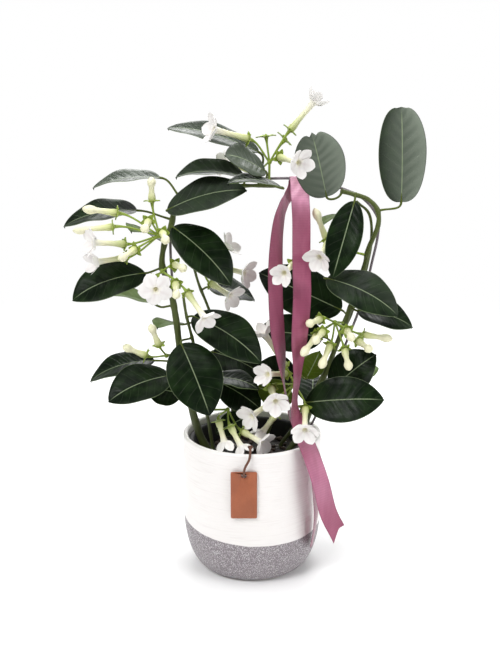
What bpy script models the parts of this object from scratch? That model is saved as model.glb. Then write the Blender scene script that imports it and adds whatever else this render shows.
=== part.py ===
"""A potted stephanotis: vines with leathery leaves and white waxy flowers, wound
round a wire hoop in a glazed pot, with a satin ribbon and a leather tag.

Every size and place below is in millimetres and becomes metres in the meshes.
The origin is the middle of the pot's flat base, +Z is up and -Y is the front.
"""

import math
from collections import namedtuple

import bmesh
import bpy
from mathutils import Vector

MM = 0.001
GAP = 0.35
TAU = 2 * math.pi

# Pot, grow pot and soil
POT_HEIGHT = 140.0
POT_RADIUS = 70.0
POT_BELLY = 70.5
POT_FOOT_RADIUS = 48.0
POT_CURVE_HEIGHT = 59.0
POT_WALL = 5.0
POT_FLOOR = 6.0
POT_HOLLOW_RADIUS = 44.5
POT_HOLLOW_CURVE = 45.0
POT_SIDES = 32
GROW_RIM_RADIUS = 63.5
GROW_RIM_TOP = 134.0
GROW_TOP_RADIUS = 60.0
GROW_BASE_RADIUS = 44.0
GROW_RIM_DEPTH = 5.0
GROW_WALL = 1.2
GROW_SIDES = 26
SOIL_TOP = 115.0
SOIL_BUMP = 1.6
SOIL_SIDES = 18

# Hoop and stems
HOOP_RADIUS = 1.3
STEM_FOOT = 84.0
STEM_CLEAR = 120.0
HOLE_CLEARANCE = 0.4
HOLE_SIDES = 8
STEM_SIDES = 6

# Leaves
BLADE_THICKNESS = 0.7
PETIOLE_RADIUS = 1.1
BLADE_STATIONS = 8
BLADE_TIP_WIDTH = 0.8
BLADE_TAPER = 0.45
BLADE_FULLNESS = 0.55
BLUNT_FULLNESS = 0.38

# Flowers
FLOWER_SIDES = 5
PEDICEL_RADIUS = 0.9
HUB_RADIUS = 2.3
SHOULDER_ANGLE = math.radians(27)
PETAL_THICKNESS = 0.8
SEPAL_RADIUS = 5.0
SEPAL_RISE = 1.6
TUBE_BASE_RADIUS = 3.6
TUBE_BASE_RISE = 7.0
TUBE_WAIST_RADIUS = 2.5
THROAT_RADIUS = 4.0
THROAT_DEPTH = 2.5
BUD_HEAD_RADIUS = 4.9

# Ribbon, tag and thong
RIBBON_WIDTH = 17.5
RIBBON_THICKNESS = 0.7
RIBBON_STEPS = 2
TAG_WIDTH = 25.0
TAG_HEIGHT = 47.0
TAG_THICKNESS = 1.8
TAG_CENTRE = (-8.0, -72.0, 100.5)
TAG_CORNER = 1.5
TAG_HOLE_RADIUS = 2.4
TAG_HOLE_DROP = 3.5
THONG_RADIUS = 1.2
KNOT_RADIUS = 3.0

HOOP_PATH = [
    (-46, 0, 120), (-54, 0, 139), (-67, 0, 187), (-74, 0, 243), (-78, 0, 294), (-79, 0, 333),
    (-75, 0, 366), (-62, 0, 384), (-35, 0, 390), (7, 0, 392), (45, 0, 392), (79, 0, 385),
    (105, 0, 374), (120, 0, 356), (121, 0, 338), (116, 0, 311), (108, 0, 274), (92, 0, 228),
    (73, 0, 176), (57, 0, 139), (46, 0, 120),
]

Vine = namedtuple("Vine", "foot_radius tip_radius steps path")

VINES = {
    "vine_main": Vine(4.2, 1.5, 2, [
        (-44, -10, 120), (-54, -9, 142), (-62, -8, 172), (-69, -8, 200), (-72, -7, 232), (-75, -6, 260),
        (-80, -6, 289), (-87, -6, 310), (-84, -6, 332), (-77, -6, 350), (-73, -6, 368), (-63, -6, 380),
        (-35, -6, 385), (-5, -6, 386), (22, -6, 386)]),
    "vine_left": Vine(1.9, 1.3, 3, [
        (-38, -20, 120), (-42, -18, 146), (-48, -15, 180), (-54, -13, 212), (-58, -12, 236),
        (-64, -12, 262), (-67, -12, 284)]),
    "vine_right": Vine(2.9, 2.0, 2, [
        (36, -8, 120), (50, -8, 142), (63, -8, 176), (82, -7, 228), (97, -6, 272), (108, -6, 308),
        (112, -6, 327), (120, -6, 348), (119, -6, 363), (110, -6, 373), (96, -6, 378), (84, -6, 381)]),
    "vine_back": Vine(2.0, 1.3, 2, [
        (30, 14, 120), (50, 13, 150), (72, 12, 196), (90, 10, 238), (104, 8, 276), (112, 7, 306),
        (116, 7, 334), (113, 7, 358), (100, 7, 370)]),
    "vine_centre": Vine(2.0, 1.2, 3, [
        (-12, 10, 120), (-18, 12, 150), (-26, 14, 188), (-33, 15, 224), (-42, 16, 258), (-54, 17, 290),
        (-60, 17, 316)]),
    "vine_low": Vine(2.0, 1.3, 3, [
        (10, 0, 120), (18, 0, 144), (28, 0, 168), (40, 2, 190), (52, 5, 212), (60, 9, 236)]),
}

# A leaf grows from the nearest point of its vine to its own base. Face is the way
# its upper side looks, arch the rise of its middle, fold the lift of its edges and
# droop the fall of its tip, the three as shares of its length or half width. A leaf
# with a blunt of 1 is oblong with a round end, and one of 0 narrows to a point.
Leaf = namedtuple("Leaf", "vine base tip width face arch fold droop blunt", defaults=(0.0,))

LEAVES = {
    "leaf_01": Leaf("vine_right", (142, -2, 370), (140, 4, 459), 45, (0, -1, 0.15), 0.05, 0.12, 0.03, 1.0),
    "leaf_02": Leaf("vine_right", (70, -10, 376), (54, -26, 436), 48, (0, -0.95, 0.25), 0.05, 0.12, 0.03, 0.7),
    "leaf_03": Leaf("vine_main", (6, -3, 417), (-81, 6, 442), 40, (-0.3, -0.3, 0.9), 0.06, 0.15, 0.04),
    "leaf_04": Leaf("vine_main", (12, -16, 400), (-25, -36, 417), 42, (-0.15, -0.6, 0.75), 0.08, 0.12, 0.05),
    "leaf_05": Leaf("vine_main", (-8, -14, 395), (-71, -18, 398), 38, (0, -0.35, 0.94), 0.06, 0.35, 0.06),
    "leaf_06": Leaf("vine_main", (-80, -16, 364), (-6, -38, 386), 40, (-0.1, -0.7, 0.7), 0.08, 0.15, 0.04),
    "leaf_07": Leaf("vine_main", (-88, 2, 393), (-151, -4, 387), 42, (-0.05, -0.2, 0.95), 0.05, 0.20, 0.05),
    "leaf_08": Leaf("vine_main", (-112, 12, 361), (-183, 6, 350), 46, (-0.1, -0.35, 0.9), 0.06, 0.20, 0.06),
    "leaf_09": Leaf("vine_main", (-75, -15, 348), (-19, -38, 298), 45, (0.35, -0.8, 0.5), 0.08, 0.15, 0.05),
    "leaf_10": Leaf("vine_main", (-103, -10, 303), (-170, -36, 284), 45, (-0.2, -0.7, 0.68), 0.10, 0.15, 0.06),
    "leaf_11": Leaf("vine_main", (-92, 2, 268), (-152, 22, 279), 40, (0.1, 0.5, 0.85), 0.05, 0.20, 0.04),
    "leaf_12": Leaf("vine_centre", (-44, 20, 284), (2, 26, 273), 42, (0, -0.35, 0.95), 0.06, 0.15, 0.08),
    "leaf_13": Leaf("vine_left", (-57, -17, 262), (9, -44, 225), 47, (0.25, -0.7, 0.66), 0.10, 0.12, 0.05),
    "leaf_14": Leaf("vine_left", (-68, -30, 238), (-40, -60, 177), 53, (0.1, -0.88, 0.45), 0.10, 0.10, 0.05),
    "leaf_15": Leaf("vine_main", (-80, -18, 203), (-137, -50, 188), 46, (-0.15, -0.65, 0.72), 0.10, 0.15, 0.05),
    "leaf_16": Leaf("vine_main", (-98, 4, 212), (-162, -4, 196), 42, (-0.2, -0.3, 0.9), 0.08, 0.18, 0.05),
    "leaf_17": Leaf("vine_main", (-72, 6, 177), (-106, -2, 184), 36, (-0.2, -0.7, 0.65), 0.08, 0.15, 0.04),
    "leaf_18": Leaf("vine_centre", (-40, 7, 220), (12, -3, 199), 44, (0.2, -0.6, 0.77), 0.08, 0.15, 0.05),
    "leaf_19": Leaf("vine_left", (-36, -25, 203), (6, -35, 196), 30, (0.1, -0.3, 0.95), 0.08, 0.15, 0.05),
    "leaf_20": Leaf("vine_centre", (-32, 0, 190), (8, -14, 168), 40, (0.2, -0.75, 0.6), 0.08, 0.12, 0.04),
    "leaf_21": Leaf("vine_centre", (-4, -22, 162), (-36, -27, 147), 24, (-0.1, -0.85, 0.5), 0.08, 0.15, 0.04),
    "leaf_22": Leaf("vine_low", (40, -6, 173), (5, -10, 189), 30, (0, -0.9, 0.4), 0.06, 0.12, 0.03),
    "leaf_23": Leaf("vine_right", (96, -14, 372), (75, -36, 303), 33, (-0.1, -0.95, 0.1), 0.05, 0.20, 0.03),
    "leaf_24": Leaf("vine_right", (71, -22, 300), (136, -47, 271), 46, (0.2, -0.7, 0.68), 0.10, 0.12, 0.04),
    "leaf_25": Leaf("vine_right", (102, -14, 267), (155, -20, 254), 42, (0.2, -0.5, 0.85), 0.08, 0.15, 0.05),
    "leaf_26": Leaf("vine_back", (90, 22, 260), (7, 24, 298), 50, (-0.1, -0.95, 0.3), 0.05, 0.10, 0.04),
    "leaf_27": Leaf("vine_back", (72, 22, 232), (6, 26, 238), 40, (0, -0.9, 0.4), 0.06, 0.12, 0.04),
    "leaf_28": Leaf("vine_right", (78, -14, 186), (119, -24, 226), 45, (-0.3, -0.8, 0.5), 0.08, 0.15, 0.04),
    "leaf_29": Leaf("vine_right", (52, -27, 178), (125, -50, 189), 46, (0, -0.85, 0.5), 0.08, 0.12, 0.05),
    "leaf_30": Leaf("vine_low", (54, -4, 196), (66, -14, 226), 24, (0, -1, 0.1), 0.05, 0.10, 0.03),
    "leaf_31": Leaf("vine_main", (-86, 8, 330), (-124, 52, 338), 44, (-0.2, 0.6, 0.75), 0.10, 0.15, 0.05),
    "leaf_32": Leaf("vine_back", (91, 14, 357), (69, 50, 343), 28, (-0.3, 0.3, 0.9), 0.08, 0.15, 0.05),
    "leaf_33": Leaf("vine_centre", (-74, 24, 245), (-100, 52, 236), 32, (-0.3, 0.7, 0.6), 0.10, 0.15, 0.05),
    "leaf_34": Leaf("vine_back", (94, 20, 196), (128, 50, 184), 42, (0.3, 0.6, 0.7), 0.10, 0.15, 0.05),
    "leaf_35": Leaf("vine_centre", (-12, 24, 158), (-34, 66, 176), 44, (-0.2, 0.5, 0.85), 0.10, 0.15, 0.05),
    "leaf_36": Leaf("vine_back", (62, 24, 160), (66, 68, 180), 44, (0.1, 0.5, 0.85), 0.10, 0.15, 0.05),
    "leaf_37": Leaf("vine_main", (27, -29, 386), (-22, -55, 394), 26, (-0.1, -0.35, 0.93), 0.08, 0.15, 0.05),
    "leaf_38": Leaf("vine_low", (42, 12, 192), (6, 10, 206), 36, (0, -1, 0.1), 0.05, 0.10, 0.04),
}

# A bloom is open, cupped, a bell, a bud or an empty calyx. Calyx is where its stalk
# ends and its tube begins, and tip is the middle of the star or the end of the bud.
Bloom = namedtuple("Bloom", "kind calyx tip")
Umbel = namedtuple("Umbel", "vine hub blooms")
OPEN = "open"
CUP = "cup"
BELL = "bell"
BUD = "bud"
EMPTY = "empty"

# How far the points, shoulders and notches of the petals reach from the flower's
# axis, and how far the points bend back from the throat, or forward if negative.
Petals = namedtuple("Petals", "point shoulder notch reflex")
PETALS = {
    OPEN: Petals(15.5, 12.0, 6.0, 2.5),
    CUP: Petals(13.2, 10.6, 5.6, -6.5),
    BELL: Petals(10.5, 8.8, 5.0, -9.0),
}

UMBELS = {
    "umbel_top": Umbel("vine_main", (16, -8, 408), [
        Bloom(BELL, (34, -10, 436), (57, -8, 463)),
        Bloom(CUP, (24, -16, 413), (42, -43, 409)),
        Bloom(CUP, (-2, -17, 429), (-35, -32, 438)),
        Bloom(CUP, (0, 22, 399), (-26, 34, 404)),
        Bloom(EMPTY, (13, -6, 430), (12, -6, 438)),
        Bloom(EMPTY, (30, 4, 427), (37, 5, 434)),
    ]),
    "umbel_left_high": Umbel("vine_main", (-88, -15, 340), [
        Bloom(BUD, (-94, -16, 371), (-94, -18, 395)),
        Bloom(BUD, (-124, -24, 362), (-157, -32, 367)),
        Bloom(BUD, (-128, -28, 350), (-166, -36, 347)),
        Bloom(CUP, (-118, -24, 333), (-146, -42, 337)),
        Bloom(BELL, (-118, -18, 320), (-145, -36, 318)),
        Bloom(BUD, (-108, -32, 330), (-121, -54, 323)),
        Bloom(BUD, (-96, -30, 356), (-98, -54, 349)),
        Bloom(BUD, (-84, -28, 345), (-78, -54, 339)),
    ]),
    "umbel_left_mid": Umbel("vine_main", (-86, -16, 306), [
        Bloom(BUD, (-74, -24, 314), (-62, -46, 313)),
        Bloom(OPEN, (-92, -30, 301), (-88, -60, 296)),
        Bloom(BUD, (-72, -30, 298), (-70, -56, 288)),
        Bloom(CUP, (-62, -34, 290), (-44, -52, 268)),
    ]),
    "umbel_back": Umbel("vine_centre", (-50, 10, 306), [
        Bloom(CUP, (-40, 10, 314), (-23, 6, 327)),
        Bloom(CUP, (-28, 4, 306), (-7, -8, 303)),
        Bloom(CUP, (-42, 3, 292), (-21, -11, 281)),
    ]),
    "umbel_left_low": Umbel("vine_main", (-84, -14, 222), [
        Bloom(BUD, (-102, -16, 222), (-126, -20, 233)),
        Bloom(BUD, (-90, -18, 232), (-98, -24, 256)),
    ]),
    "umbel_right_high": Umbel("vine_right", (82, -4, 326), [
        Bloom(BUD, (72, -4, 333), (59, -4, 365)),
        Bloom(CUP, (73, -15, 335), (62, -34, 322)),
        Bloom(BELL, (40, -14, 313), (29, -40, 308)),
    ]),
    "umbel_right_mid": Umbel("vine_right", (80, -16, 256), [
        Bloom(BUD, (67, -26, 262), (51, -40, 259)),
        Bloom(BUD, (68, -30, 251), (57, -54, 245)),
        Bloom(BUD, (63, -26, 247), (46, -49, 231)),
        Bloom(BUD, (75, -32, 239), (64, -50, 219)),
        Bloom(BUD, (88, -28, 234), (92, -46, 216)),
        Bloom(BUD, (90, -32, 252), (92, -60, 250)),
        Bloom(BUD, (99, -34, 243), (112, -50, 236)),
        Bloom(BUD, (105, -24, 246), (134, -32, 243)),
    ]),
    "umbel_low": Umbel("vine_low", (42, -10, 192), [
        Bloom(CUP, (18, -30, 195), (22, -55, 188)),
        Bloom(CUP, (51, -39, 178), (49, -68, 164)),
        Bloom(BELL, (34, -18, 205), (14, -42, 211)),
        Bloom(CUP, (21, -20, 178), (-1, -42, 169)),
        Bloom(BELL, (34, 0, 206), (12, -10, 243)),
        Bloom(BELL, (24, -23, 166), (10, -29, 148)),
    ]),
    "umbel_pot": Umbel("vine_left", (-24, -30, 172), [
        Bloom(BELL, (-33, -38, 165), (-27, -43, 143)),
        Bloom(BELL, (-22, -40, 160), (-11, -47, 140)),
        Bloom(CUP, (-11, -37, 153), (9, -50, 145)),
    ]),
}

# Each station of the ribbon: its middle, and the turn of its width from +X in degrees.
RIBBON_PATH = [
    (59, -46, 36, 75), (62, -48, 55, 75), (63, -49, 78, 72), (60, -50, 109, 68), (56, -50, 134, 66),
    (51, -48, 147, 68), (42, -45, 160, 72), (35, -41, 178, 80), (31, -38, 200, 85), (28, -34, 225, 60),
    (24, -29, 250, 40), (22, -26, 280, 38), (22, -23, 310, 38), (24, -16, 342, 50), (28, -6, 362, 60),
    (34, 1, 375, 56), (41, 4.5, 384, 22), (44, 4.2, 391.5, 0), (44, 0, 394.6, 0), (44.5, -5, 391, 0),
    (45, -10, 378, 4), (46, -18, 356, 8), (46, -26, 320, 10), (47, -32, 283, 12), (45, -36, 245, 28),
    (43, -41, 212, 60), (40, -48, 182, 68), (46, -54, 160, 35), (56, -60, 137, 22), (65, -65, 111, 20),
    (73, -63, 79, 18), (83, -60, 57, 18),
]

THONG_PATH = [
    (-2, -48, 120), (-2, -53, 131), (-2, -59, 141), (-2, -64, 145.5), (-2, -70, 143.5), (-3, -74, 137),
    (-7, -75, 129), (-8, -75, 121.8), (-8, -72, 120.6),
]
KNOT_PLACE = (-2, -61.5, 144.5)


def clear_scene():
    """Remove every object that the file starts with."""
    for item in list(bpy.data.objects):
        bpy.data.objects.remove(item, do_unlink=True)


def finish(name, colour, roughness, metallic=0.0):
    """Make a Principled material."""
    material = bpy.data.materials.new(name)
    material.use_nodes = True
    shader = material.node_tree.nodes["Principled BSDF"]
    shader.inputs["Base Color"].default_value = (*colour, 1.0)
    shader.inputs["Roughness"].default_value = roughness
    shader.inputs["Metallic"].default_value = metallic
    return material


def add_object(name, mesh, material, smooth=True):
    """Put a mesh into the scene as a named object with its material."""
    mesh.materials.append(material)
    item = bpy.data.objects.new(name, mesh)
    bpy.context.scene.collection.objects.link(item)
    if smooth:
        mesh.shade_smooth()
        mesh.set_sharp_from_angle(angle=math.radians(40))
    return item


def mesh_from_faces(name, points, faces):
    """Make a closed mesh from points in millimetres, with its faces turned outwards."""
    shape = bmesh.new()
    verts = [shape.verts.new(Vector(point) * MM) for point in points]
    for face in faces:
        shape.faces.new([verts[index] for index in face])
    bmesh.ops.recalc_face_normals(shape, faces=shape.faces)
    mesh = bpy.data.meshes.new(name)
    shape.to_mesh(mesh)
    shape.free()
    return mesh


def bridge(first, second, flipped=()):
    """Give the triangles between two rings of equal count, with chosen diagonals flipped."""
    faces = []
    count = len(first)
    for j in range(count):
        a, b = first[j], first[(j + 1) % count]
        c, d = second[(j + 1) % count], second[j]
        if j in flipped:
            faces += [(a, b, d), (b, c, d)]
        else:
            faces += [(a, b, c), (a, c, d)]
    return faces


def loft(rings, flipped=()):
    """Join rings of points into one closed body. A ring of one point is a pole."""
    points = []
    faces = []
    index_rings = []
    for ring in rings:
        index_rings.append(list(range(len(points), len(points) + len(ring))))
        points += ring
    for first, second in zip(index_rings, index_rings[1:]):
        if len(second) == 1:
            faces += [(first[j], first[(j + 1) % len(first)], second[0]) for j in range(len(first))]
        elif len(first) == 1:
            faces += [(second[(j + 1) % len(second)], second[j], first[0]) for j in range(len(second))]
        else:
            faces += bridge(first, second, flipped)
    for end in (index_rings[0], index_rings[-1]):
        faces += [(end[0], end[j], end[j + 1]) for j in range(1, len(end) - 1)]
    return points, faces


def spline(points, steps):
    """Read a smooth curve through the points, with so many steps between each two."""
    vectors = [Vector(point) for point in points]
    ends = [vectors[0] * 2 - vectors[1]] + vectors + [vectors[-1] * 2 - vectors[-2]]
    curve = []
    for before, start, end, after in zip(ends, ends[1:], ends[2:], ends[3:]):
        for step in range(steps):
            t = step / steps
            curve.append(0.5 * (
                2 * start + (end - before) * t
                + (2 * before - 5 * start + 4 * end - after) * t ** 2
                + (3 * start - before - 3 * end + after) * t ** 3))
    curve.append(vectors[-1])
    return curve


def bezier(start, start_pull, end_pull, end, steps):
    """Read a cubic curve at even steps, both ends included."""
    curve = []
    for step in range(steps + 1):
        t = step / steps
        u = 1 - t
        curve.append(start * u ** 3 + start_pull * (3 * u * u * t) + end_pull * (3 * u * t * t) + end * t ** 3)
    return curve


def tangents(curve):
    """Give the unit direction of a curve at each of its points."""
    last = len(curve) - 1
    return [(curve[min(i + 1, last)] - curve[max(i - 1, 0)]).normalized() for i in range(last + 1)]


def ring(centre, axis, side, radius, count):
    """Give a round ring of points about an axis, the first one along side."""
    across = (side - axis * side.dot(axis)).normalized()
    other = axis.cross(across)
    return [centre + across * (radius * math.cos(TAU * j / count)) + other * (radius * math.sin(TAU * j / count))
            for j in range(count)]


def tube_rings(curve, radii, count):
    """Give the rings of a tube along a curve, without twist."""
    rings = []
    side = Vector((0.3, 1, 0.2))
    for centre, axis, radius in zip(curve, tangents(curve), radii):
        side = (side - axis * side.dot(axis)).normalized()
        rings.append(ring(centre, axis, side, radius, count))
    return rings


def turned(name, profile, sides, material):
    """Turn a profile of (radius, height) points that starts and ends on the axis."""
    rings = []
    for radius, height in profile:
        if radius == 0:
            rings.append([(0, 0, height)])
        else:
            rings.append([(radius * math.cos(TAU * j / sides), radius * math.sin(TAU * j / sides), height)
                          for j in range(sides)])
    return add_object(name, mesh_from_faces(name, *loft(rings)), material)


def make_pot(material):
    """The glazed pot: flat foot, rounded lower body, straight wall and a round lip."""
    arc = [math.radians(angle) for angle in (0, 22, 45, 68, 90)]
    belly = POT_BELLY - POT_FOOT_RADIUS
    outside = [(POT_FOOT_RADIUS + belly * math.sin(a), POT_CURVE_HEIGHT * (1 - math.cos(a))) for a in arc]
    lip = POT_WALL / 2
    lip_centre = (POT_RADIUS - lip, POT_HEIGHT - lip)
    rim = [(lip_centre[0] + lip * math.cos(math.radians(a)), lip_centre[1] + lip * math.sin(math.radians(a)))
           for a in (0, 45, 90, 135, 180)]
    inner = POT_RADIUS - POT_WALL
    widening = inner - POT_HOLLOW_RADIUS
    inside = [(POT_HOLLOW_RADIUS + widening * math.sin(a), POT_FLOOR + POT_HOLLOW_CURVE * (1 - math.cos(a)))
              for a in reversed(arc)]
    turned("pot", [(0, 0)] + outside + rim + inside + [(0, POT_FLOOR)], POT_SIDES, material)


def grow_radius(height):
    """The grow pot's outer radius at a height."""
    base = POT_FLOOR + GAP
    share = (height - base) / (GROW_RIM_TOP - GROW_RIM_DEPTH - base)
    return GROW_BASE_RADIUS + (GROW_TOP_RADIUS - GROW_BASE_RADIUS) * share


def make_grow_pot(material):
    """The thin plastic pot that the plant was grown in, with a rolled rim."""
    base = POT_FLOOR + GAP
    top = GROW_RIM_TOP
    profile = [
        (0, base), (GROW_BASE_RADIUS, base), (GROW_TOP_RADIUS, top - GROW_RIM_DEPTH),
        (GROW_RIM_RADIUS, top - GROW_RIM_DEPTH + 1), (GROW_RIM_RADIUS, top - 1), (GROW_RIM_RADIUS - 1.5, top),
        (GROW_TOP_RADIUS - GROW_WALL, top - 1.5), (GROW_TOP_RADIUS - GROW_WALL, top - GROW_RIM_DEPTH),
        (GROW_BASE_RADIUS - GROW_WALL, base + GROW_WALL),
        (0, base + GROW_WALL)]
    turned("grow_pot", profile, GROW_SIDES, material)


def soil_height(x, y):
    """The uneven surface of the soil."""
    return SOIL_TOP + SOIL_BUMP * math.sin(0.21 * x + 0.6) * math.cos(0.17 * y - 0.4)


def stem_holes():
    """Cutters for the plain holes that the stems and the hoop's legs stand in."""
    feet = [(vine.path[0], vine.foot_radius) for vine in VINES.values()]
    feet += [(HOOP_PATH[0], HOOP_RADIUS), (HOOP_PATH[-1], HOOP_RADIUS), (THONG_PATH[0], THONG_RADIUS)]
    cutters = bpy.data.collections.new("stem_holes")
    bpy.context.scene.collection.children.link(cutters)
    for index, (foot, radius) in enumerate(feet):
        low = Vector((foot[0], foot[1], STEM_FOOT - 1))
        high = Vector((foot[0], foot[1], STEM_CLEAR + 6))
        rings = tube_rings([low, high], [radius + HOLE_CLEARANCE] * 2, HOLE_SIDES)
        name = f"hole_{index}"
        cutter = bpy.data.objects.new(name, mesh_from_faces(name, *loft(rings)))
        cutter.hide_render = True
        cutter.display_type = "WIRE"
        cutters.objects.link(cutter)
    return cutters


def make_soil(material):
    """The soil that fills the grow pot, with an uneven top and a hole for each stem."""
    low = POT_FLOOR + GAP + GROW_WALL + GAP
    slack = GROW_WALL + GAP + 0.3
    bottom = grow_radius(low) - slack
    top = grow_radius(SOIL_TOP) - slack
    rings = [[(0, 0, low)]]
    angles = [TAU * j / SOIL_SIDES for j in range(SOIL_SIDES)]
    rings.append([(bottom * math.cos(a), bottom * math.sin(a), low) for a in angles])
    for share in (1.0, 0.8, 0.55, 0.3):
        spots = [(top * share * math.cos(a), top * share * math.sin(a)) for a in angles]
        rings.append([(x, y, SOIL_TOP if share == 1.0 else soil_height(x, y)) for x, y in spots])
    rings.append([(0, 0, soil_height(0, 0))])
    soil = add_object("soil", mesh_from_faces("soil", *loft(rings)), material)
    cut = soil.modifiers.new("stem_holes", "BOOLEAN")
    cut.operation = "DIFFERENCE"
    cut.operand_type = "COLLECTION"
    cut.collection = stem_holes()


def make_hoop(material):
    """The wire hoop, with both legs straight in the soil."""
    curve = spline(HOOP_PATH, 2)
    curve.insert(0, Vector((HOOP_PATH[0][0], 0, STEM_FOOT)))
    curve.append(Vector((HOOP_PATH[-1][0], 0, STEM_FOOT)))
    rings = tube_rings(curve, [HOOP_RADIUS] * len(curve), STEM_SIDES)
    add_object("hoop", mesh_from_faces("hoop", *loft(rings)), material)


def vine_curve(vine):
    """A vine's smooth middle line from its foot in the soil to its end, with its radii."""
    curve = [Vector((vine.path[0][0], vine.path[0][1], STEM_FOOT))] + spline(vine.path, vine.steps)
    last = len(curve) - 1
    radii = [vine.foot_radius + (vine.tip_radius - vine.foot_radius) * i / last for i in range(last + 1)]
    return curve, radii


def make_vines(material):
    """Each vine as one tapering stem."""
    for name, vine in VINES.items():
        curve, radii = vine_curve(vine)
        add_object(name, mesh_from_faces(name, *loft(tube_rings(curve, radii, STEM_SIDES))), material)


def root_on_vine(vine, place):
    """Find where a stalk that leads to a place leaves the vine, and its first direction."""
    curve, radii = vine_curve(vine)
    best = None
    for start, end, radius in zip(curve[1:], curve[2:], radii[1:]):
        along = end - start
        share = min(max((place - start).dot(along) / along.length_squared, 0.1), 0.9)
        foot = start + along * share
        distance = (place - foot).length
        if best is None or distance < best[0]:
            best = (distance, foot, along.normalized(), radius)
    _, foot, axis, radius = best
    away = place - foot
    away = (away - axis * away.dot(axis)).normalized()
    return foot + away * (radius + GAP), away


def blade_half_width(share, leaf):
    """Half the width of a leaf at a share of its length."""
    point = BLADE_TAPER * (1 - leaf.blunt) * share ** 5
    fullness = BLADE_FULLNESS + (BLUNT_FULLNESS - BLADE_FULLNESS) * leaf.blunt
    outline = (4 * share * (1 - share)) ** fullness * (1 - point)
    return max(outline * leaf.width / 2, BLADE_TIP_WIDTH / 2)


def blade_line(leaf, share):
    """The leaf's midrib at a share of its length: arched, with a drooping tip."""
    base, tip, face = Vector(leaf.base), Vector(leaf.tip), Vector(leaf.face).normalized()
    length = (tip - base).length
    rise = leaf.arch * 4 * share * (1 - share) - leaf.droop * share ** 4
    return base + (tip - base) * share + face * (rise * length)


def blade_section(centre, axis, face, half_width, lift, thickness):
    """Six points across a blade or its stalk: under side, then upper side."""
    up = (face - axis * face.dot(axis)).normalized()
    side = axis.cross(up)
    half = thickness / 2
    left = centre - side * half_width + up * lift
    right = centre + side * half_width + up * lift
    return [left - up * half, centre - up * half, right - up * half,
            right + up * half, centre + up * half, left + up * half]


def make_leaf(name, leaf, material):
    """One leaf: a stalk from the vine that runs on as the midrib of an oval blade."""
    shares = [i / BLADE_STATIONS for i in range(BLADE_STATIONS + 1)]
    shares[0], shares[-1] = 0.012, 0.995
    middle = [blade_line(leaf, share) for share in shares]
    along = tangents(middle)
    face = Vector(leaf.face)
    base = Vector(leaf.base)
    root, away = root_on_vine(VINES[leaf.vine], base)
    reach = (base - root).length
    first = (blade_line(leaf, 0.05) - base).normalized()
    stalk = bezier(root, root + away * (0.45 * reach), base - first * (0.35 * reach), base, 3)[:-1]
    rings = []
    for centre, axis in zip(stalk, tangents(stalk + [base])):
        rings.append(blade_section(centre, axis, face, PETIOLE_RADIUS, 0, PETIOLE_RADIUS * 1.6))
    for share, centre, axis in zip(shares, middle, along):
        half_width = blade_half_width(share, leaf)
        thickness = max(BLADE_THICKNESS, PETIOLE_RADIUS * 1.6 * (1 - 9 * share))
        rings.append(blade_section(centre, axis, face, half_width, leaf.fold * half_width, thickness))
    add_object(name, mesh_from_faces(name, *loft(rings, flipped=(3, 4))), material)


def stalk_rings(hub, calyx, tip):
    """The rings of a flower's stalk from inside the hub to the calyx."""
    axis = (tip - calyx).normalized()
    outward = (calyx - hub).normalized()
    reach = (calyx - hub).length
    curve = bezier(hub, hub + outward * (0.3 * reach), calyx - axis * (0.3 * reach), calyx, 2)
    return tube_rings(curve, [PEDICEL_RADIUS] * len(curve), FLOWER_SIDES)


def tube_outline(kind, length):
    """The (distance, radius) pairs of a flower's tube from its calyx on."""
    sepals = [(SEPAL_RISE, SEPAL_RADIUS), (SEPAL_RISE + 0.7, 0.9 * TUBE_BASE_RADIUS)]
    if kind == EMPTY:
        return sepals + [(5.0, 0.5 * TUBE_BASE_RADIUS)]
    waist = sepals + [(TUBE_BASE_RISE, TUBE_BASE_RADIUS), (0.45 * length, TUBE_WAIST_RADIUS)]
    if kind == BUD:
        head = [(0.60, 0.55), (0.78, 1.0), (0.92, 0.75)]
        return waist + [(along * length, around * BUD_HEAD_RADIUS) for along, around in head]
    return waist + [(0.82 * length, 1.1 * TUBE_WAIST_RADIUS), (length - PETAL_THICKNESS, THROAT_RADIUS)]


def star_ring(petals, centre, axis, side, shift):
    """The outer edge of an open flower's five petals: notch, shoulder, point, shoulder."""
    other = axis.cross(side)
    points = []
    for petal in range(FLOWER_SIDES):
        notch = TAU * petal / FLOWER_SIDES
        middle = notch + math.pi / FLOWER_SIDES
        spots = [(notch, petals.notch), (middle - SHOULDER_ANGLE, petals.shoulder),
                 (middle, petals.point), (middle + SHOULDER_ANGLE, petals.shoulder)]
        for angle, radius in spots:
            reach = (radius - petals.notch) / (petals.point - petals.notch)
            back = shift - petals.reflex * reach
            points.append(centre + axis * back + side * (radius * math.cos(angle)) + other * (radius * math.sin(angle)))
    return points


def petal_faces(inner, outer):
    """The triangles between the throat's five points and the star's twenty."""
    faces = []
    for petal in range(FLOWER_SIDES):
        a, b = inner[petal], inner[(petal + 1) % FLOWER_SIDES]
        notch, left, point, right = outer[4 * petal:4 * petal + 4]
        last = outer[(4 * petal + 4) % len(outer)]
        faces += [(a, notch, left), (a, left, point), (a, point, b), (b, point, right), (b, right, last)]
    return faces


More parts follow.
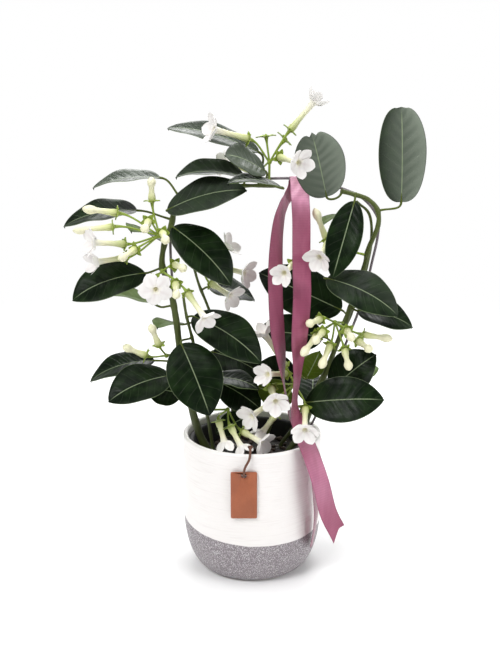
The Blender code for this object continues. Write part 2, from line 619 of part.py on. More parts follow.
def bloom_mesh(name, hub, bloom):
    """One flower, bud or empty calyx on its stalk, as a closed body."""
    calyx, tip = Vector(bloom.calyx), Vector(bloom.tip)
    axis = (tip - calyx).normalized()
    length = (tip - calyx).length
    rings = stalk_rings(hub, calyx, tip)
    side = (rings[-1][0] - calyx).normalized()
    side = (side - axis * side.dot(axis)).normalized()
    for distance, radius in tube_outline(bloom.kind, length):
        rings.append(ring(calyx + axis * distance, axis, side, radius, FLOWER_SIDES))
    if bloom.kind == BUD:
        rings.append([tip])
    if bloom.kind not in PETALS:
        return mesh_from_faces(name, *loft(rings))
    points, faces = loft(rings)
    cap = FLOWER_SIDES - 2
    del faces[-cap:]
    under_throat = list(range(len(points) - FLOWER_SIDES, len(points)))
    petals = PETALS[bloom.kind]
    edge = 4 * FLOWER_SIDES
    under_star = list(range(len(points), len(points) + edge))
    points += star_ring(petals, tip, axis, side, -PETAL_THICKNESS)
    upper_star = list(range(len(points), len(points) + edge))
    points += star_ring(petals, tip, axis, side, 0)
    upper_throat = list(range(len(points), len(points) + FLOWER_SIDES))
    points += ring(tip + axis * 0.2, axis, side, THROAT_RADIUS - PETAL_THICKNESS, FLOWER_SIDES)
    middle = len(points)
    points.append(tip - axis * THROAT_DEPTH)
    faces += petal_faces(under_throat, under_star)
    faces += bridge(under_star, upper_star)
    faces += petal_faces(upper_throat, upper_star)
    faces += [(upper_throat[j], upper_throat[(j + 1) % FLOWER_SIDES], middle) for j in range(FLOWER_SIDES)]
    return mesh_from_faces(name, points, faces)


def fuse(item, meshes):
    """Join loose closed meshes to an object with one Boolean union, and apply it."""
    loose = bpy.data.collections.new(f"{item.name}_loose")
    bpy.context.scene.collection.children.link(loose)
    for mesh in meshes:
        loose.objects.link(bpy.data.objects.new(mesh.name, mesh))
    union = item.modifiers.new("union", "BOOLEAN")
    union.operation = "UNION"
    union.operand_type = "COLLECTION"
    union.collection = loose
    fused = bpy.data.meshes.new_from_object(item.evaluated_get(bpy.context.evaluated_depsgraph_get()))
    item.modifiers.remove(union)
    item.data = fused
    for part in list(loose.objects):
        bpy.data.objects.remove(part, do_unlink=True)
    bpy.data.collections.remove(loose)


def make_umbel(name, umbel, material):
    """A cluster of flowers: one stalk from the vine, a knob at its end and the blooms."""
    hub = Vector(umbel.hub)
    root, away = root_on_vine(VINES[umbel.vine], hub)
    reach = (hub - root).length
    curve = bezier(root, root + away * (0.4 * reach), hub - (hub - root) * 0.2, hub, 3)
    rings = tube_rings(curve, [PEDICEL_RADIUS * 1.2] * 4, FLOWER_SIDES)
    item = add_object(name, mesh_from_faces(name, *loft(rings)), material)
    knob = bmesh.new()
    bmesh.ops.create_icosphere(knob, subdivisions=1, radius=HUB_RADIUS * MM)
    bmesh.ops.translate(knob, vec=hub * MM, verts=knob.verts)
    knob_mesh = bpy.data.meshes.new(f"{name}_knob")
    knob.to_mesh(knob_mesh)
    knob.free()
    blooms = [bloom_mesh(f"{name}_{index}", hub, bloom) for index, bloom in enumerate(umbel.blooms)]
    bpy.context.view_layer.update()
    fuse(item, [knob_mesh] + blooms)


def make_ribbon(material):
    """The satin ribbon: one strip, hung over the hoop, with both tails over the pot's rim."""
    middle = spline([station[:3] for station in RIBBON_PATH], RIBBON_STEPS)
    turns = spline([(station[3], 0, 0) for station in RIBBON_PATH], RIBBON_STEPS)
    rings = []
    for centre, axis, turn in zip(middle, tangents(middle), turns):
        angle = math.radians(turn[0])
        width = Vector((math.cos(angle), math.sin(angle), 0))
        side = (width - axis * width.dot(axis)).normalized() * (RIBBON_WIDTH / 2)
        up = axis.cross(side).normalized() * (RIBBON_THICKNESS / 2)
        rings.append([centre - side - up, centre + side - up, centre + side + up, centre - side + up])
    add_object("ribbon", mesh_from_faces("ribbon", *loft(rings, flipped=(2,))), material)


def make_tag(material):
    """The flat leather tag, with rounded corners and a hole for its thong."""
    shape = bmesh.new()
    bmesh.ops.create_cube(shape, size=1)
    bmesh.ops.scale(shape, vec=Vector((TAG_WIDTH, TAG_THICKNESS, TAG_HEIGHT)) * MM, verts=shape.verts)
    corners = [edge for edge in shape.edges if abs(edge.verts[0].co.y - edge.verts[1].co.y) > 0.5 * MM]
    bmesh.ops.bevel(shape, geom=corners, offset=TAG_CORNER * MM, segments=3, affect="EDGES", profile=0.5)
    bmesh.ops.translate(shape, vec=Vector(TAG_CENTRE) * MM, verts=shape.verts)
    mesh = bpy.data.meshes.new("tag")
    shape.to_mesh(mesh)
    shape.free()
    tag = add_object("tag", mesh, material, smooth=False)
    hole_height = TAG_CENTRE[2] + TAG_HEIGHT / 2 - TAG_HOLE_DROP
    front = Vector((TAG_CENTRE[0], TAG_CENTRE[1] - TAG_THICKNESS, hole_height))
    back = Vector((TAG_CENTRE[0], TAG_CENTRE[1] + TAG_THICKNESS, hole_height))
    rings = tube_rings([front, back], [TAG_HOLE_RADIUS] * 2, HOLE_SIDES)
    cutter = bpy.data.objects.new("tag_hole", mesh_from_faces("tag_hole", *loft(rings)))
    cutter.hide_render = True
    cutter.display_type = "WIRE"
    bpy.context.scene.collection.objects.link(cutter)
    cut = tag.modifiers.new("hole", "BOOLEAN")
    cut.operation = "DIFFERENCE"
    cut.object = cutter


def make_thong(material):
    """The thin leather thong: out of the soil, knotted, over the rim and into the tag."""
    curve = spline(THONG_PATH, 2)
    curve.insert(0, Vector((THONG_PATH[0][0], THONG_PATH[0][1], STEM_FOOT + 20)))
    rings = tube_rings(curve, [THONG_RADIUS] * len(curve), STEM_SIDES)
    thong = add_object("thong", mesh_from_faces("thong", *loft(rings)), material)
    knot = bmesh.new()
    bmesh.ops.create_icosphere(knot, subdivisions=1, radius=KNOT_RADIUS * MM)
    bmesh.ops.translate(knot, vec=Vector(KNOT_PLACE) * MM, verts=knot.verts)
    mesh = bpy.data.meshes.new("knot")
    knot.to_mesh(mesh)
    knot.free()
    bpy.context.view_layer.update()
    fuse(thong, [mesh])


def main():
    """Build every piece of the plant, its pot and its trimmings."""
    clear_scene()
    leaf_green = finish("leaf_green", (0.035, 0.105, 0.030), 0.32)
    stem_green = finish("stem_green", (0.150, 0.200, 0.045), 0.55)
    flower_white = finish("flower_white", (0.830, 0.790, 0.700), 0.45)
    make_pot(finish("pot_glaze", (0.780, 0.780, 0.770), 0.35))
    make_grow_pot(finish("grow_pot_plastic", (0.030, 0.030, 0.030), 0.50))
    make_soil(finish("soil_brown", (0.045, 0.030, 0.020), 0.95))
    make_hoop(finish("hoop_coating", (0.230, 0.180, 0.210), 0.45))
    make_vines(stem_green)
    for name, leaf in LEAVES.items():
        make_leaf(name, leaf, leaf_green)
    for name, umbel in UMBELS.items():
        make_umbel(name, umbel, flower_white)
    make_ribbon(finish("ribbon_satin", (0.460, 0.085, 0.230), 0.35))
    leather = finish("leather_brown", (0.380, 0.130, 0.050), 0.60)
    make_tag(leather)
    make_thong(leather)


main()
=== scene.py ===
import logging
import math
import random
from dataclasses import dataclass, field
from enum import Enum

import bmesh
import bpy
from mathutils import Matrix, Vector


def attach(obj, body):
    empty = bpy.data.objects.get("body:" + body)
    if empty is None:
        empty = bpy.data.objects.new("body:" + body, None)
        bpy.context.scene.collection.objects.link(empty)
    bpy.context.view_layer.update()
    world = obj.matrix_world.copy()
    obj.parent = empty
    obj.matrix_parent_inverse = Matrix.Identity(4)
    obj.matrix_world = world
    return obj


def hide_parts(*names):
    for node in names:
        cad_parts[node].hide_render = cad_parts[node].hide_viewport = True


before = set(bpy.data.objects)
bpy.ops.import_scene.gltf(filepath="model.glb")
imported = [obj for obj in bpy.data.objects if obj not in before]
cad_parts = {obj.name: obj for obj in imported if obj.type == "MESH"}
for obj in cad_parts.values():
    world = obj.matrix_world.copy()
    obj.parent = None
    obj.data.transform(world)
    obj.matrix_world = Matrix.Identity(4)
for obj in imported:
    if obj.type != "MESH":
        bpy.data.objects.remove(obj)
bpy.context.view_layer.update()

log = logging.getLogger("stephanotis")

MM = 0.001
TAU = 2 * math.pi
BODY = "root"
Triple = tuple[float, float, float]


class Shape(Enum):
    """How far a flower has opened."""

    OPEN = "open"
    CUP = "cup"
    BELL = "bell"
    BUD = "bud"
    EMPTY = "empty"


class Value:
    """A shader socket that takes part in Python expressions and adds the Math nodes."""

    def __init__(self, graph: "Graph", socket: bpy.types.NodeSocket) -> None:
        """Wrap a socket.

        Args:
            graph: the material's graph.
            socket: the output socket to wrap.
        """
        self.graph = graph
        self.socket = socket

    def _math(self, operation: str, *others: "Value | float") -> "Value":
        """Add a Math node on this value and others."""
        inputs = dict(enumerate((self, *others)))
        return self.graph.node("ShaderNodeMath", {"operation": operation}, inputs)

    def __add__(self, other: "Value | float") -> "Value":
        """Sum."""
        return self._math("ADD", other)

    __radd__ = __add__

    def __mul__(self, other: "Value | float") -> "Value":
        """Product."""
        return self._math("MULTIPLY", other)

    __rmul__ = __mul__

    def __sub__(self, other: "Value | float") -> "Value":
        """Difference."""
        return self._math("SUBTRACT", other)

    def __rsub__(self, other: float) -> "Value":
        """Difference from a number."""
        return self * -1.0 + other

    def __truediv__(self, other: "Value | float") -> "Value":
        """Quotient."""
        return self._math("DIVIDE", other)

    def __pow__(self, other: "Value | float") -> "Value":
        """Power."""
        return self._math("POWER", other)

    def size(self) -> "Value":
        """The value without its sign."""
        return self._math("ABSOLUTE")

    def part(self) -> "Value":
        """The value's fraction."""
        return self._math("FRACT")

    def wave(self) -> "Value":
        """The value's sine."""
        return self._math("SINE")

    def step(self, low: float, high: float) -> "Value":
        """A smooth rise from 0 at low to 1 at high.

        Args:
            low: where the rise starts.
            high: where it ends, which may be below low for a fall.

        Returns:
            The rise, between 0 and 1.
        """
        settings = {"interpolation_type": "SMOOTHSTEP", "clamp": True}
        return self.graph.node("ShaderNodeMapRange", settings, {0: self, 1: low, 2: high, 3: 0.0, 4: 1.0})


class Graph:
    """The nodes of a material or of the world."""

    def __init__(self, owner: bpy.types.Material | bpy.types.World) -> None:
        """Start the nodes.

        Args:
            owner: the new material or world that they belong to.
        """
        owner.use_nodes = True
        self.owner = owner
        self.tree = owner.node_tree
        self.shader = self.tree.nodes.get("Principled BSDF") or self.tree.nodes["Background"]

    @classmethod
    def material(cls, name: str) -> "Graph":
        """Start a Principled material of that name."""
        return cls(bpy.data.materials.new(name))

    def plug(self, socket: bpy.types.NodeSocket, value: "Value | float | tuple | None") -> None:
        """Link a value to a socket, or set the socket to a number or a colour."""
        if isinstance(value, Value):
            self.tree.links.new(value.socket, socket)
        elif isinstance(value, tuple) and len(value) == 3 and socket.type == "RGBA":
            socket.default_value = (*value, 1.0)
        elif value is not None:
            socket.default_value = value

    def node(self, kind: str, settings: dict, inputs: dict, output: int | str = 0) -> Value:
        """Add any node.

        Args:
            kind: the node's type.
            settings: its properties, with a ramp's stops under "stops".
            inputs: the values or links of its sockets, by name or number.
            output: the name or number of the output that is wanted.

        Returns:
            The output as a value.
        """
        made = self.tree.nodes.new(kind)
        for key, setting in settings.items():
            if key == "stops":
                self._stops(made.color_ramp, setting)
            else:
                setattr(made, key, setting)
        for key, value in inputs.items():
            self.plug(made.inputs[key], value)
        return Value(self, made.outputs[output])

    @staticmethod
    def _stops(ramp: bpy.types.ColorRamp, stops: list[tuple[float, Triple]]) -> None:
        """Give a ramp its stops."""
        while len(ramp.elements) > 1:
            ramp.elements.remove(ramp.elements[-1])
        for index, (place, colour) in enumerate(stops):
            stop = ramp.elements[0] if index == 0 else ramp.elements.new(place)
            stop.position = place
            stop.color = (*colour, 1.0)

    def mark(self, name: str) -> Value:
        """Read a value that the mesh carries at its points."""
        return self.node("ShaderNodeAttribute", {"attribute_name": name}, {}, "Fac")

    def place(self) -> Value:
        """The place on the object, in metres."""
        return self.node("ShaderNodeTexCoord", {}, {}, "Object")

    def height(self) -> Value:
        """The height on the object, in metres."""
        return self.node("ShaderNodeSeparateXYZ", {}, {0: self.place()}, "Z")

    def noise(self, scale: float, detail: float = 3.0, place: Value | None = None) -> Value:
        """Soft noise of so many spots to the metre, about 0.5 on average."""
        inputs = {"Vector": place or self.place(), "Scale": scale, "Detail": detail}
        return self.node("ShaderNodeTexNoise", {}, inputs, "Fac")

    def spots(self, scale: float) -> Value:
        """The distance to the nearest of scattered points, so many to the metre."""
        return self.node("ShaderNodeTexVoronoi", {}, {"Vector": self.place(), "Scale": scale}, "Distance")

    def stretched(self, across: Triple) -> Value:
        """The place, stretched by a factor along each axis."""
        return self.node("ShaderNodeVectorMath", {"operation": "MULTIPLY"}, {0: self.place(), 1: across})

    def mix(self, share: Value | float, first: Value | Triple, second: Value | Triple) -> Value:
        """Mix two colours.

        Args:
            share: 0 for the first, 1 for the second.
            first: a colour.
            second: a colour.

        Returns:
            The mixed colour.
        """
        made = self.tree.nodes.new("ShaderNodeMix")
        made.data_type = "RGBA"
        self.plug(made.inputs[0], share)
        self.plug(made.inputs[6], first)
        self.plug(made.inputs[7], second)
        return Value(self, made.outputs[2])

    def ramp(self, value: Value, stops: list[tuple[float, Triple]]) -> Value:
        """Give a colour for each value."""
        return self.node("ShaderNodeValToRGB", {"stops": stops}, {0: value})

    def bump(self, height: Value, depth: float) -> None:
        """Raise the surface by a height in millimetres times its depth."""
        inputs = {"Strength": 1.0, "Distance": depth * MM, "Height": height}
        self.plug(self.shader.inputs["Normal"], self.node("ShaderNodeBump", {}, inputs))

    def finish(self, colour: Value | Triple, roughness: Value | float, **constants: float | tuple) -> bpy.types.Material:
        """Set the shader's colour, roughness and plain numbers.

        Args:
            colour: the base colour.
            roughness: the roughness.
            constants: other sockets, with underscores for the spaces in their names.

        Returns:
            The material.
        """
        self.plug(self.shader.inputs["Base Color"], colour)
        self.plug(self.shader.inputs["Roughness"], roughness)
        for name, value in constants.items():
            self.plug(self.shader.inputs[name.replace("_", " ")], value)
        return self.owner


@dataclass(frozen=True)
class LeafFinish:
    """Leathery leaves: near-black green above, pale below, with a light midrib and a painted grey-green sheen on some
    upper faces.
    """

    dark: Triple = (0.0026, 0.0074, 0.0022)
    light: Triple = (0.0100, 0.0225, 0.0064)
    # painted sheen: the pale grey-green that upper faces are washed towards in place of reflected light
    painted_sheen_grey: Triple = (0.1850, 0.2150, 0.1720)
    # painted shade between the side veins of sheen-washed leaves
    painted_quilt_shade: Triple = (0.040, 0.058, 0.042)
    young: Triple = (0.070, 0.110, 0.008)
    vein: Triple = (0.260, 0.320, 0.190)
    under: Triple = (0.150, 0.220, 0.070)
    stalk: Triple = (0.085, 0.110, 0.022)

    def material(self) -> bpy.types.Material:
        """Make the material."""
        graph = Graph.material("leaf_waxy")
        across = graph.mark("across").size()
        along = graph.mark("along")
        half = graph.mark("half")
        side = across * half
        rib = side.step(0.70, 0.20) * along.step(1.02, 0.80)
        phase = (along * 8.0 - across * 1.5 + graph.noise(55.0) * 0.35).part()
        lateral = (phase - 0.5).size().step(0.455, 0.5) * across.step(0.98, 0.75) * side.step(0.3, 2.0)
        quilt = (phase - 0.35).size().step(0.40, 0.05) * across.step(1.0, 0.2)
        mottle = graph.noise(70.0).step(0.35, 0.70)
        edge = (half - side).step(0.80, 0.25) * across.step(0.85, 0.95)
        blade = graph.mix(mottle, self.dark, self.light)
        # painted sheen: each leaf's upper face is mixed towards a pale grey-green by its painted sheen amount
        tone = graph.mark("tone")
        blade = graph.mix(tone, blade, self.painted_sheen_grey)
        # painted shade: on leaves with a painted sheen, the bands between the side veins are darkened
        blade = graph.mix(quilt * tone * 0.45, blade, self.painted_quilt_shade)
        blade = graph.mix(graph.mark("young"), blade, self.young)
        blade = graph.mix(lateral * 0.05, blade, self.vein)
        pale = tone.step(0.1, 0.4)
        blade = graph.mix(edge * (pale * 0.35 + 0.30), blade, graph.mix(pale, self.vein, self.dark))
        blade = graph.mix(rib * 0.75, blade, self.vein)
        below = graph.mix(rib * 0.5, graph.mix(mottle * 0.35, self.under, self.light), self.vein)
        colour = graph.mix(graph.mark("under"), blade, below)
        colour = graph.mix(graph.mark("stalk"), colour, self.stalk)
        grain = graph.noise(700.0, 2.0) * 0.10 + graph.noise(160.0) * 0.6
        graph.bump(grain - lateral * 0.45 - rib * 0.3 - quilt * 0.7, 0.30)
        rough = graph.noise(120.0).step(0.3, 0.7) * 0.12 + 0.30 + graph.mark("under") * 0.2
        return graph.finish(colour, rough, Specular_IOR_Level=0.09)


@dataclass(frozen=True)
class FlowerFinish:
    """Waxy petals, greener towards the calyx, and cream buds, with painted pink-grey shade along the petals' creases.
    """

    green: Triple = (0.400, 0.450, 0.130)
    cream: Triple = (0.820, 0.800, 0.560)
    white: Triple = (0.860, 0.840, 0.820)
    # pink-grey for random streaks and for painted shade in the petal creases
    streak_and_crease_shade: Triple = (0.600, 0.510, 0.500)
    throat: Triple = (0.640, 0.600, 0.380)

    def material(self) -> bpy.types.Material:
        """Make the material."""
        graph = Graph.material("petal_wax")
        rise = graph.mark("rise")
        stops = [(0.0, self.green), (0.16, (0.580, 0.620, 0.310)), (0.36, self.cream), (0.56, self.white)]
        tube = graph.ramp(rise * 0.5, stops)
        bud = graph.ramp(rise * 0.5, [(0.0, self.green), (0.20, (0.640, 0.670, 0.330)), (0.5, self.cream)])
        colour = graph.mix(graph.mark("bud"), tube, bud)
        streak = graph.noise(260.0, 1.0, graph.stretched((1.0, 1.0, 0.35)))
        colour = graph.mix(streak.step(0.40, 0.80) * 0.14, colour, self.streak_and_crease_shade)
        # painted shade: pink-grey along each petal's middle crease, strongest near its base
        colour = graph.mix(graph.mark("crease") * 0.45, colour, self.streak_and_crease_shade)
        colour = graph.mix(graph.mark("throat"), colour, self.throat)
        graph.bump(graph.noise(260.0, 1.0) * 0.4 - graph.mark("crease") * 0.6, 0.07)
        rough = graph.noise(200.0, 1.0) * 0.12 + 0.40
        return graph.finish(colour, rough)


@dataclass(frozen=True)
class StemFinish:
    """Green stems with fine streaks, browner low down."""

    name: str
    young: Triple
    old: Triple
    change: tuple[float, float] = (0.30, 0.12)

    def material(self) -> bpy.types.Material:
        """Make the material."""
        graph = Graph.material(self.name)
        age = graph.height().step(*self.change)
        patch = graph.noise(110.0)
        colour = graph.mix(age * 0.6 + patch * 0.3, self.young, self.old)
        streak = graph.noise(520.0, 3.0, graph.stretched((1.0, 1.0, 0.2)))
        colour = graph.mix(streak.step(0.55, 0.80) * 0.35, colour, self.old)
        graph.bump(streak * 0.8 + graph.noise(900.0) * 0.3, 0.35)
        return graph.finish(colour, patch * 0.2 + 0.42)


@dataclass(frozen=True)
class GlazeFinish:
    """Satin white glaze above a speckled grey band."""

    line: float
    front: float
    dip: tuple[float, float] = (-0.040, 0.088)
    white: Triple = (0.840, 0.815, 0.800)
    grey: Triple = (0.205, 0.178, 0.194)
    speck: Triple = (0.860, 0.840, 0.850)
    foot: Triple = (0.560, 0.520, 0.470)

    def material(self) -> bpy.types.Material:
        """Make the material."""
        graph = Graph.material("pot_glaze")
        height = graph.height()
        wobble = (graph.noise(90.0) - 0.5) * 0.0012
        over = height + wobble - self._split(graph, "X") * self.dip[0]
        over = over - (self._split(graph, "Y") + self.front) * self.dip[1]
        upper = over.step(self.line - 0.0003, self.line + 0.0003)
        fine = graph.spots(1050.0).step(0.42, 0.20)
        coarse = graph.spots(560.0).step(0.32, 0.16)
        gaps = graph.noise(380.0).step(0.32, 0.52)
        specks = fine * gaps * 0.90 + coarse * 0.50
        band = graph.mix(graph.noise(45.0).step(0.3, 0.7) * 0.35, self.grey, (0.265, 0.235, 0.252))
        band = graph.mix(specks, band, self.speck)
        cloud = graph.noise(22.0).step(0.3, 0.75)
        white = graph.mix(cloud * 0.5, self.white, (0.800, 0.770, 0.750))
        turning = graph.noise(640.0, 2.0, graph.stretched((0.05, 0.05, 1.0)))
        white = graph.mix(turning.step(0.52, 0.75) * 0.34, white, (0.690, 0.640, 0.625))
        colour = graph.mix(upper, band, white)
        colour = graph.mix(height.step(0.0016, 0.0004), colour, self.foot)
        graph.bump(turning * upper * 0.9 + specks * (1 - upper) * 0.5 + graph.noise(800.0) * 0.15, 0.30)
        rough = 0.52 - upper * 0.16 + cloud * 0.05
        return graph.finish(colour, rough, Coat_Weight=0.12, Coat_Roughness=0.30)

    @staticmethod
    def _split(graph: Graph, axis: str) -> Value:
        """The place along one axis, in metres."""
        return graph.node("ShaderNodeSeparateXYZ", {}, {0: graph.place()}, axis)


@dataclass(frozen=True)
class PlainFinish:
    """A mottled matt or satin material for plastic, wire or bark."""

    name: str
    base: Triple
    other: Triple
    grain: float
    rough: float
    depth: float
    metal: float = 0.0

    def material(self) -> bpy.types.Material:
        """Make the material."""
        graph = Graph.material(self.name)
        mottle = graph.noise(self.grain)
        colour = graph.mix(mottle.step(0.35, 0.70), self.base, self.other)
        graph.bump(mottle + graph.noise(self.grain * 4.0) * 0.4, self.depth)
        return graph.finish(colour, mottle * 0.2 + self.rough, Metallic=self.metal)


@dataclass(frozen=True)
class SoilFinish:
    """Damp peat with paler bark crumbs."""

    peat: Triple = (0.0060, 0.0040, 0.0028)
    bark: Triple = (0.040, 0.020, 0.011)
    grit: Triple = (0.300, 0.280, 0.250)

    def material(self) -> bpy.types.Material:
        """Make the material."""
        graph = Graph.material("soil_peat")
        crumb = graph.noise(420.0, 5.0)
        colour = graph.mix(crumb.step(0.50, 0.75) * 0.6, self.peat, self.bark)
        colour = graph.mix(graph.mark("bark"), colour, graph.mix(crumb, (0.026, 0.014, 0.008), self.bark))
        colour = graph.mix(graph.mark("grit"), colour, self.grit)
        graph.bump(crumb * 1.2 + graph.noise(1500.0) * 0.4, 1.0)
        return graph.finish(colour, 0.92 - crumb * 0.15)


@dataclass(frozen=True)
class SatinFinish:
    """Mauve satin: smooth along, ribbed by fine cross threads, with a woven edge and a painted pink highlight at the
    fold and on the tails.
    """

    mauve: Triple = (0.270, 0.056, 0.114)
    pink: Triple = (0.400, 0.105, 0.190)
    deep: Triple = (0.155, 0.028, 0.066)
    # painted highlight colour
    painted_highlight: Triple = (0.900, 0.440, 0.640)
    threads: float = 2600.0

    def material(self) -> bpy.types.Material:
        """Make the material."""
        graph = Graph.material("ribbon_satin")
        across = graph.mark("across").size()
        thread = (graph.mark("run") * self.threads).wave()
        warp = (graph.mark("across") * 150.0).wave()
        streak = graph.noise(160.0, 3.0, graph.stretched((1.0, 1.0, 0.15)))
        colour = graph.mix(streak.step(0.35, 0.75) * 0.45, self.mauve, self.pink)
        # painted highlight: pale pink near the fold over the hoop and on the tails near the pot's rim
        colour = graph.mix(graph.mark("painted_highlight") * (streak * 0.5 + 0.65), colour, self.painted_highlight)
        colour = graph.mix(thread * 0.06 + 0.06, colour, self.deep)
        edge = across.step(0.90, 0.95)
        colour = graph.mix(edge * 0.40, colour, self.deep)
        graph.bump(thread * 0.5 + warp * 0.2 + edge * 1.5, 0.05)
        rough = streak * 0.12 + 0.30 + edge * 0.15
        return graph.finish(colour, rough, Sheen_Weight=0.35, Sheen_Roughness=0.35, Anisotropic=0.5)


@dataclass(frozen=True)
class LeatherFinish:
    """Smooth tanned leather with grain, darker at its cut edges."""

    name: str
    tan: Triple
    dark: Triple

    def material(self) -> bpy.types.Material:
        """Make the material."""
        graph = Graph.material(self.name)
        cells = graph.spots(1100.0)
        stain = graph.noise(60.0)
        colour = graph.mix(stain.step(0.30, 0.75) * 0.55, self.tan, self.dark)
        colour = graph.mix(cells.step(0.45, 0.75) * 0.18, colour, self.dark)
        colour = graph.mix(graph.mark("edge") * 0.75, colour, self.dark)
        graph.bump(0.6 - cells + graph.noise(2200.0) * 0.3, 0.16)
        return graph.finish(colour, stain * 0.15 + 0.48)


@dataclass
class Mesh:
    """Points, faces and per-point values of a mesh in the making, in millimetres."""

    points: list[Vector] = field(default_factory=list)
    faces: list[tuple[int, ...]] = field(default_factory=list)
    marks: dict[str, dict[int, float]] = field(default_factory=dict)

    def row(self, points: list[Vector], **marks: float | list[float]) -> list[int]:
        """Add a row of points.

        Args:
            points: the points.
            marks: a value for all of them, or one for each, by name.

        Returns:
            Their numbers.
        """
        first = len(self.points)
        self.points += points
        numbers = list(range(first, len(self.points)))
        for name, value in marks.items():
            store = self.marks.setdefault(name, {})
            for place, number in enumerate(numbers):
                store[number] = value[place] if isinstance(value, list) else value
        return numbers

    def bridge(self, first: list[int], second: list[int], closed: bool = True) -> None:
        """Fill between two rows, which may close on themselves."""
        count = len(first)
        for j in range(count if closed else count - 1):
            k = (j + 1) % count
            self.faces.append((first[j], first[k], second[k], second[j]))

    def fan(self, row: list[int], point: Vector, **marks: float) -> None:
        """Close a ring with a point in its middle."""
        middle = self.row([point], **marks)[0]
        for j, number in enumerate(row):
            self.faces.append((number, row[(j + 1) % len(row)], middle))

    def close(self, top: list[list[int]], bottom: list[list[int]]) -> None:
        """Close a blade between the rows of its two faces."""
        for rows in (top, bottom):
            for first, second in zip(rows, rows[1:]):
                self.bridge(first, second, closed=False)
        for edge in (0, -1):
            for i in range(len(top) - 1):
                self.faces.append((top[i][edge], top[i + 1][edge], bottom[i + 1][edge], bottom[i][edge]))
        for end in (0, -1):
            self.bridge(top[end], bottom[end], closed=False)

    def piece(self, name: str, material: bpy.types.Material, nodes: list[str], slot: str) -> bpy.types.Object:
        """Make the object, dress it and tie it to the frame.

        Args:
            name: the piece's name.
            material: its material.
            nodes: the solids that it stands for.
            slot: not used.

        Returns:
            The object.
        """
        shape = bmesh.new()
        verts = [shape.verts.new(point * MM) for point in self.points]
        for face in self.faces:
            shape.faces.new([verts[number] for number in face])
        bmesh.ops.recalc_face_normals(shape, faces=shape.faces)
        mesh = bpy.data.meshes.new(name)
        shape.to_mesh(mesh)
        shape.free()
        for mark, store in self.marks.items():
            values = [store.get(number, 0.0) for number in range(len(self.points))]
            mesh.attributes.new(mark, "FLOAT", "POINT").data.foreach_set("value", values)
        mesh.materials.append(material)
        mesh.shade_smooth()
        mesh.set_sharp_from_angle(angle=math.radians(50))
        item = bpy.data.objects.new(name, mesh)
        bpy.context.scene.collection.objects.link(item)
        return tie(item, nodes)


def tie(item: bpy.types.Object, nodes: list[str]) -> bpy.types.Object:
    """Tie a piece to the frame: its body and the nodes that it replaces."""
    if nodes:
        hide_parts(*nodes)
    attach(item, BODY)
    log.info("%s: %d faces", item.name, len(item.data.polygons))
    return item


def spline(points: list[Vector], steps: int) -> list[Vector]:
    """Read a smooth curve through the points, with so many steps between each two."""
    ends = [points[0] * 2 - points[1]] + points + [points[-1] * 2 - points[-2]]
    curve = []
    for before, start, end, after in zip(ends, ends[1:], ends[2:], ends[3:]):
        for step in range(steps):
            t = step / steps
            curve.append(0.5 * (
                2 * start + (end - before) * t
                + (2 * before - 5 * start + 4 * end - after) * t ** 2
                + (3 * start - before - 3 * end + after) * t ** 3))
    curve.append(points[-1].copy())
    return curve


def bezier(start: Vector, pull: Vector, end_pull: Vector, end: Vector, steps: int) -> list[Vector]:
    """Read a cubic curve at even steps, both ends included."""
    curve = []
    for step in range(steps + 1):
        t = step / steps
        u = 1 - t
        curve.append(start * u ** 3 + pull * (3 * u * u * t) + end_pull * (3 * u * t * t) + end * t ** 3)
    return curve


def tangents(curve: list[Vector]) -> list[Vector]:
    """Give the unit direction of a curve at each of its points."""
    last = len(curve) - 1
    return [(curve[min(i + 1, last)] - curve[max(i - 1, 0)]).normalized() for i in range(last + 1)]


def sides(curve: list[Vector]) -> list[Vector]:
    """Give a direction across a curve at each point, without twist."""
    side = Vector((0.3, 1, 0.2))
    found = []
    for axis in tangents(curve):
        side = (side - axis * side.dot(axis)).normalized()
        found.append(side)
    return found


def ring(centre: Vector, axis: Vector, side: Vector, radius: float, count: int) -> list[Vector]:
    """Give a round ring of points about an axis, the first one along side."""
    other = axis.cross(side)
    return [centre + side * (radius * math.cos(TAU * j / count)) + other * (radius * math.sin(TAU * j / count))
            for j in range(count)]


def tube(mesh: Mesh, curve: list[Vector], radii: list[float], count: int, **marks: float | list) -> None:
    """Add a closed tube along a curve.

    Args:
        mesh: the mesh to add it to.
        curve: its middle line.
        radii: its radius at each point.
        count: how many sides it has.
        marks: values for its points, one for all or one for each ring.
    """
    rows = []
    along = tangents(curve)
    for index, (centre, axis, side, radius) in enumerate(zip(curve, along, sides(curve), radii)):
        here = {name: value[index] if isinstance(value, list) else value for name, value in marks.items()}
        rows.append(mesh.row(ring(centre, axis, side, radius, count), **here))
    for first, second in zip(rows, rows[1:]):
        mesh.bridge(first, second)
    for row, centre, axis, radius, way, at in (
            (rows[0], curve[0], along[0], radii[0], -1, 0), (rows[-1], curve[-1], along[-1], radii[-1], 1, -1)):
        here = {name: value[at] if isinstance(value, list) else value for name, value in marks.items()}
        mesh.fan(row, centre + axis * (way * 0.5 * radius), **here)


